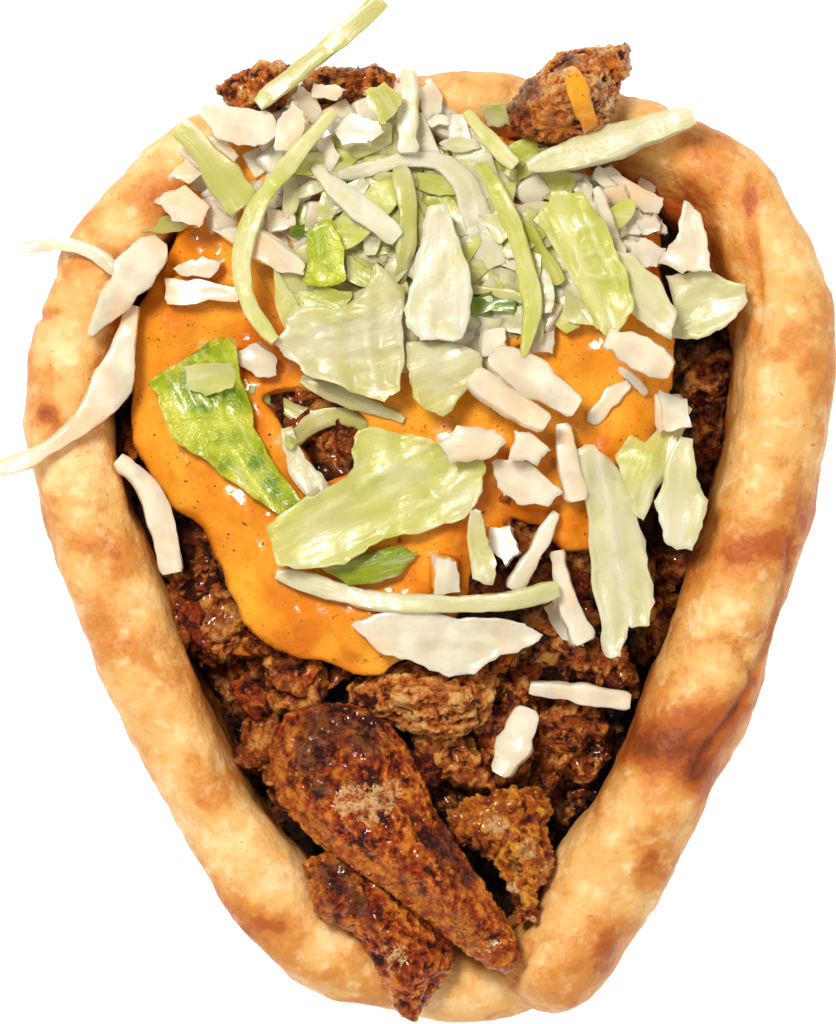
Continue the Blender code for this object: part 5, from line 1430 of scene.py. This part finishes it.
def make_salad():
    """The salad heap: sauce on a bed, diced onion, shavings at the heap's top, then the pieces that show."""
    heap = surface_of("salad_heap")
    below = surface_of("flatbread", "meat_heap", "sauce", "meat_chunk_back_left")
    sheet = salad_bed(below)
    points = points_of(sheet)
    edge = to_line(points, SALAD_EDGE + SALAD_EDGE[:1])
    note(sheet, where=np.clip(spots(points, DICE_PLACES), 0, 1) * ramp(edge, 0, 2), thin=0.0)
    finish_piece("salad_sauce", thickened(sheet, BED_SAUCE), "sauce", "sauce", ["salad_heap"])
    dice = small_things("dice", 6, build_dice)
    made = scattered(sheet, dice, "dice", "onion", *DICE)
    clear_things(dice)
    note_places(made)
    finish_piece("salad_dice", made, "onion", "onion", ["salad_heap"])
    for vertex in sheet.vertices:
        top = top_at(heap, vertex.co.x, vertex.co.y) or 0
        vertex.co.z = max(vertex.co.z, top - SHAVINGS_DEPTH * MM)
    evened(sheet, 6)
    shavings = small_things("shaving", 9, build_shaving)
    for name, finish, places, *spread in SHAVINGS:
        note(sheet, where=np.clip(spots(points, places), 0, 1) * ramp(edge, 0, 3))
        made = scattered(sheet, shavings, "shavings", finish, *spread)
        note_places(made)
        finish_piece(name, made, finish, "cabbage", ["salad_heap"])
    clear_things(shavings)
    by_finish = {}
    for order, (thickness, finish, lift, outline) in enumerate(CHUNKS):
        made = raised(laid_chunk(outline, thickness, [heap, below], SEEDS["chunks"] + order), lift)
        by_finish.setdefault(finish, []).append(made)
    for order, (thickness, finish, lift, rows) in enumerate(STRIPS):
        path = smooth_rows(rows, SHRED_ROWS)
        heights = heights_on(heap, path, 10) + (lift - thickness / 2) * MM
        made = swept_shred(path, heights, thickness, finish, SEEDS["strips"] + order)
        by_finish.setdefault(finish, []).append(made)
    for finish, meshes in by_finish.items():
        finish_piece("salad_cut_" + finish, joined(meshes), finish, slot_of(finish), ["salad_heap"])


def make_crumbs(browned, roof):
    """Small browned crumbs on the meat."""
    crumbs = small_things("crumb", 6, build_crumb)
    surface = joined(browned)
    up = Shape(surface).normals()[:, 2]
    patchy = np.clip(layers(points_of(surface), 7, 2, 31) * 1.6 + 0.5, 0, 1)
    note(surface, where=np.clip(up * 1.5 - 0.3, 0, 1) * patchy)
    made = scattered(surface, crumbs, "crumbs", "meat_fatty", *CRUMBS)
    clear_things(crumbs)
    note(made, height=0.6, shade=hollow(points_of(made), roof) * 0.8)
    finish_piece("meat_crumbs", made, "meat_fatty", "meat", ["meat_heap", *MEATS])


def make_stage():
    """A pale floor, soft light and the camera straight above."""
    floor = bpy.data.meshes.new("floor")
    corners = [(x * FLOOR_REACH, y * FLOOR_REACH, 0) for x, y in ((-1, -1), (1, -1), (1, 1), (-1, 1))]
    floor.from_pydata(corners, [], [(0, 1, 2, 3)])
    f = Finish("floor")
    floor.materials.append(f.shade(
        base_color=f.mix(f.grain(120), (248, 248, 248), (252, 252, 252)), roughness=0.9,
        emission_color=(1, 1, 1, 1), emission_strength=FLOOR_GLOW))
    ground = bpy.data.objects.new("floor", floor)
    bpy.context.scene.collection.objects.link(ground)
    for name, (place, size, power, tint) in LAMPS.items():
        lamp = bpy.data.lights.new(name, "AREA")
        lamp.size = size
        lamp.energy = power
        lamp.color = tint
        holder = bpy.data.objects.new(name, lamp)
        holder.location = place
        # Only the key lamp shows as a glint; the broad ones would put pale patches on the sauce.
        holder.visible_glossy = name == "key"
        holder.rotation_euler = (Vector(LAMPS_AIM) - Vector(place)).to_track_quat("-Z", "Y").to_euler()
        bpy.context.scene.collection.objects.link(holder)
    world = bpy.data.worlds.new("studio")
    world.use_nodes = True
    sky = world.node_tree.nodes["Background"].inputs
    sky["Color"].default_value = (1, 1, 1, 1)
    sky["Strength"].default_value = SKY
    bpy.context.scene.world = world
    lens = bpy.data.cameras.new("camera")
    lens.sensor_width = SENSOR
    lens.lens = SENSOR * CAMERA_ABOVE / PICTURE_HEIGHT
    lens.clip_start = 0.01
    camera = bpy.data.objects.new("camera", lens)
    camera.location = (0, 0, (PICTURE_PLANE + CAMERA_ABOVE) * MM)
    bpy.context.scene.collection.objects.link(camera)
    bpy.context.scene.camera = camera
    bpy.context.scene.view_settings.view_transform = "Standard"


FINISHES = make_finishes()
SHRED_TREE = shred_tree()
SCATTER_TREE = scatter_tree()
roof = roof_map()
make_bread(roof)
meat_meshes = make_meat(roof)
make_sauce()
make_sunk_bits()
make_flakes(roof)
make_leaves()
make_shreds()
make_salad()
make_extras()
make_drip()
make_crumbs(meat_meshes, roof)
make_stage()
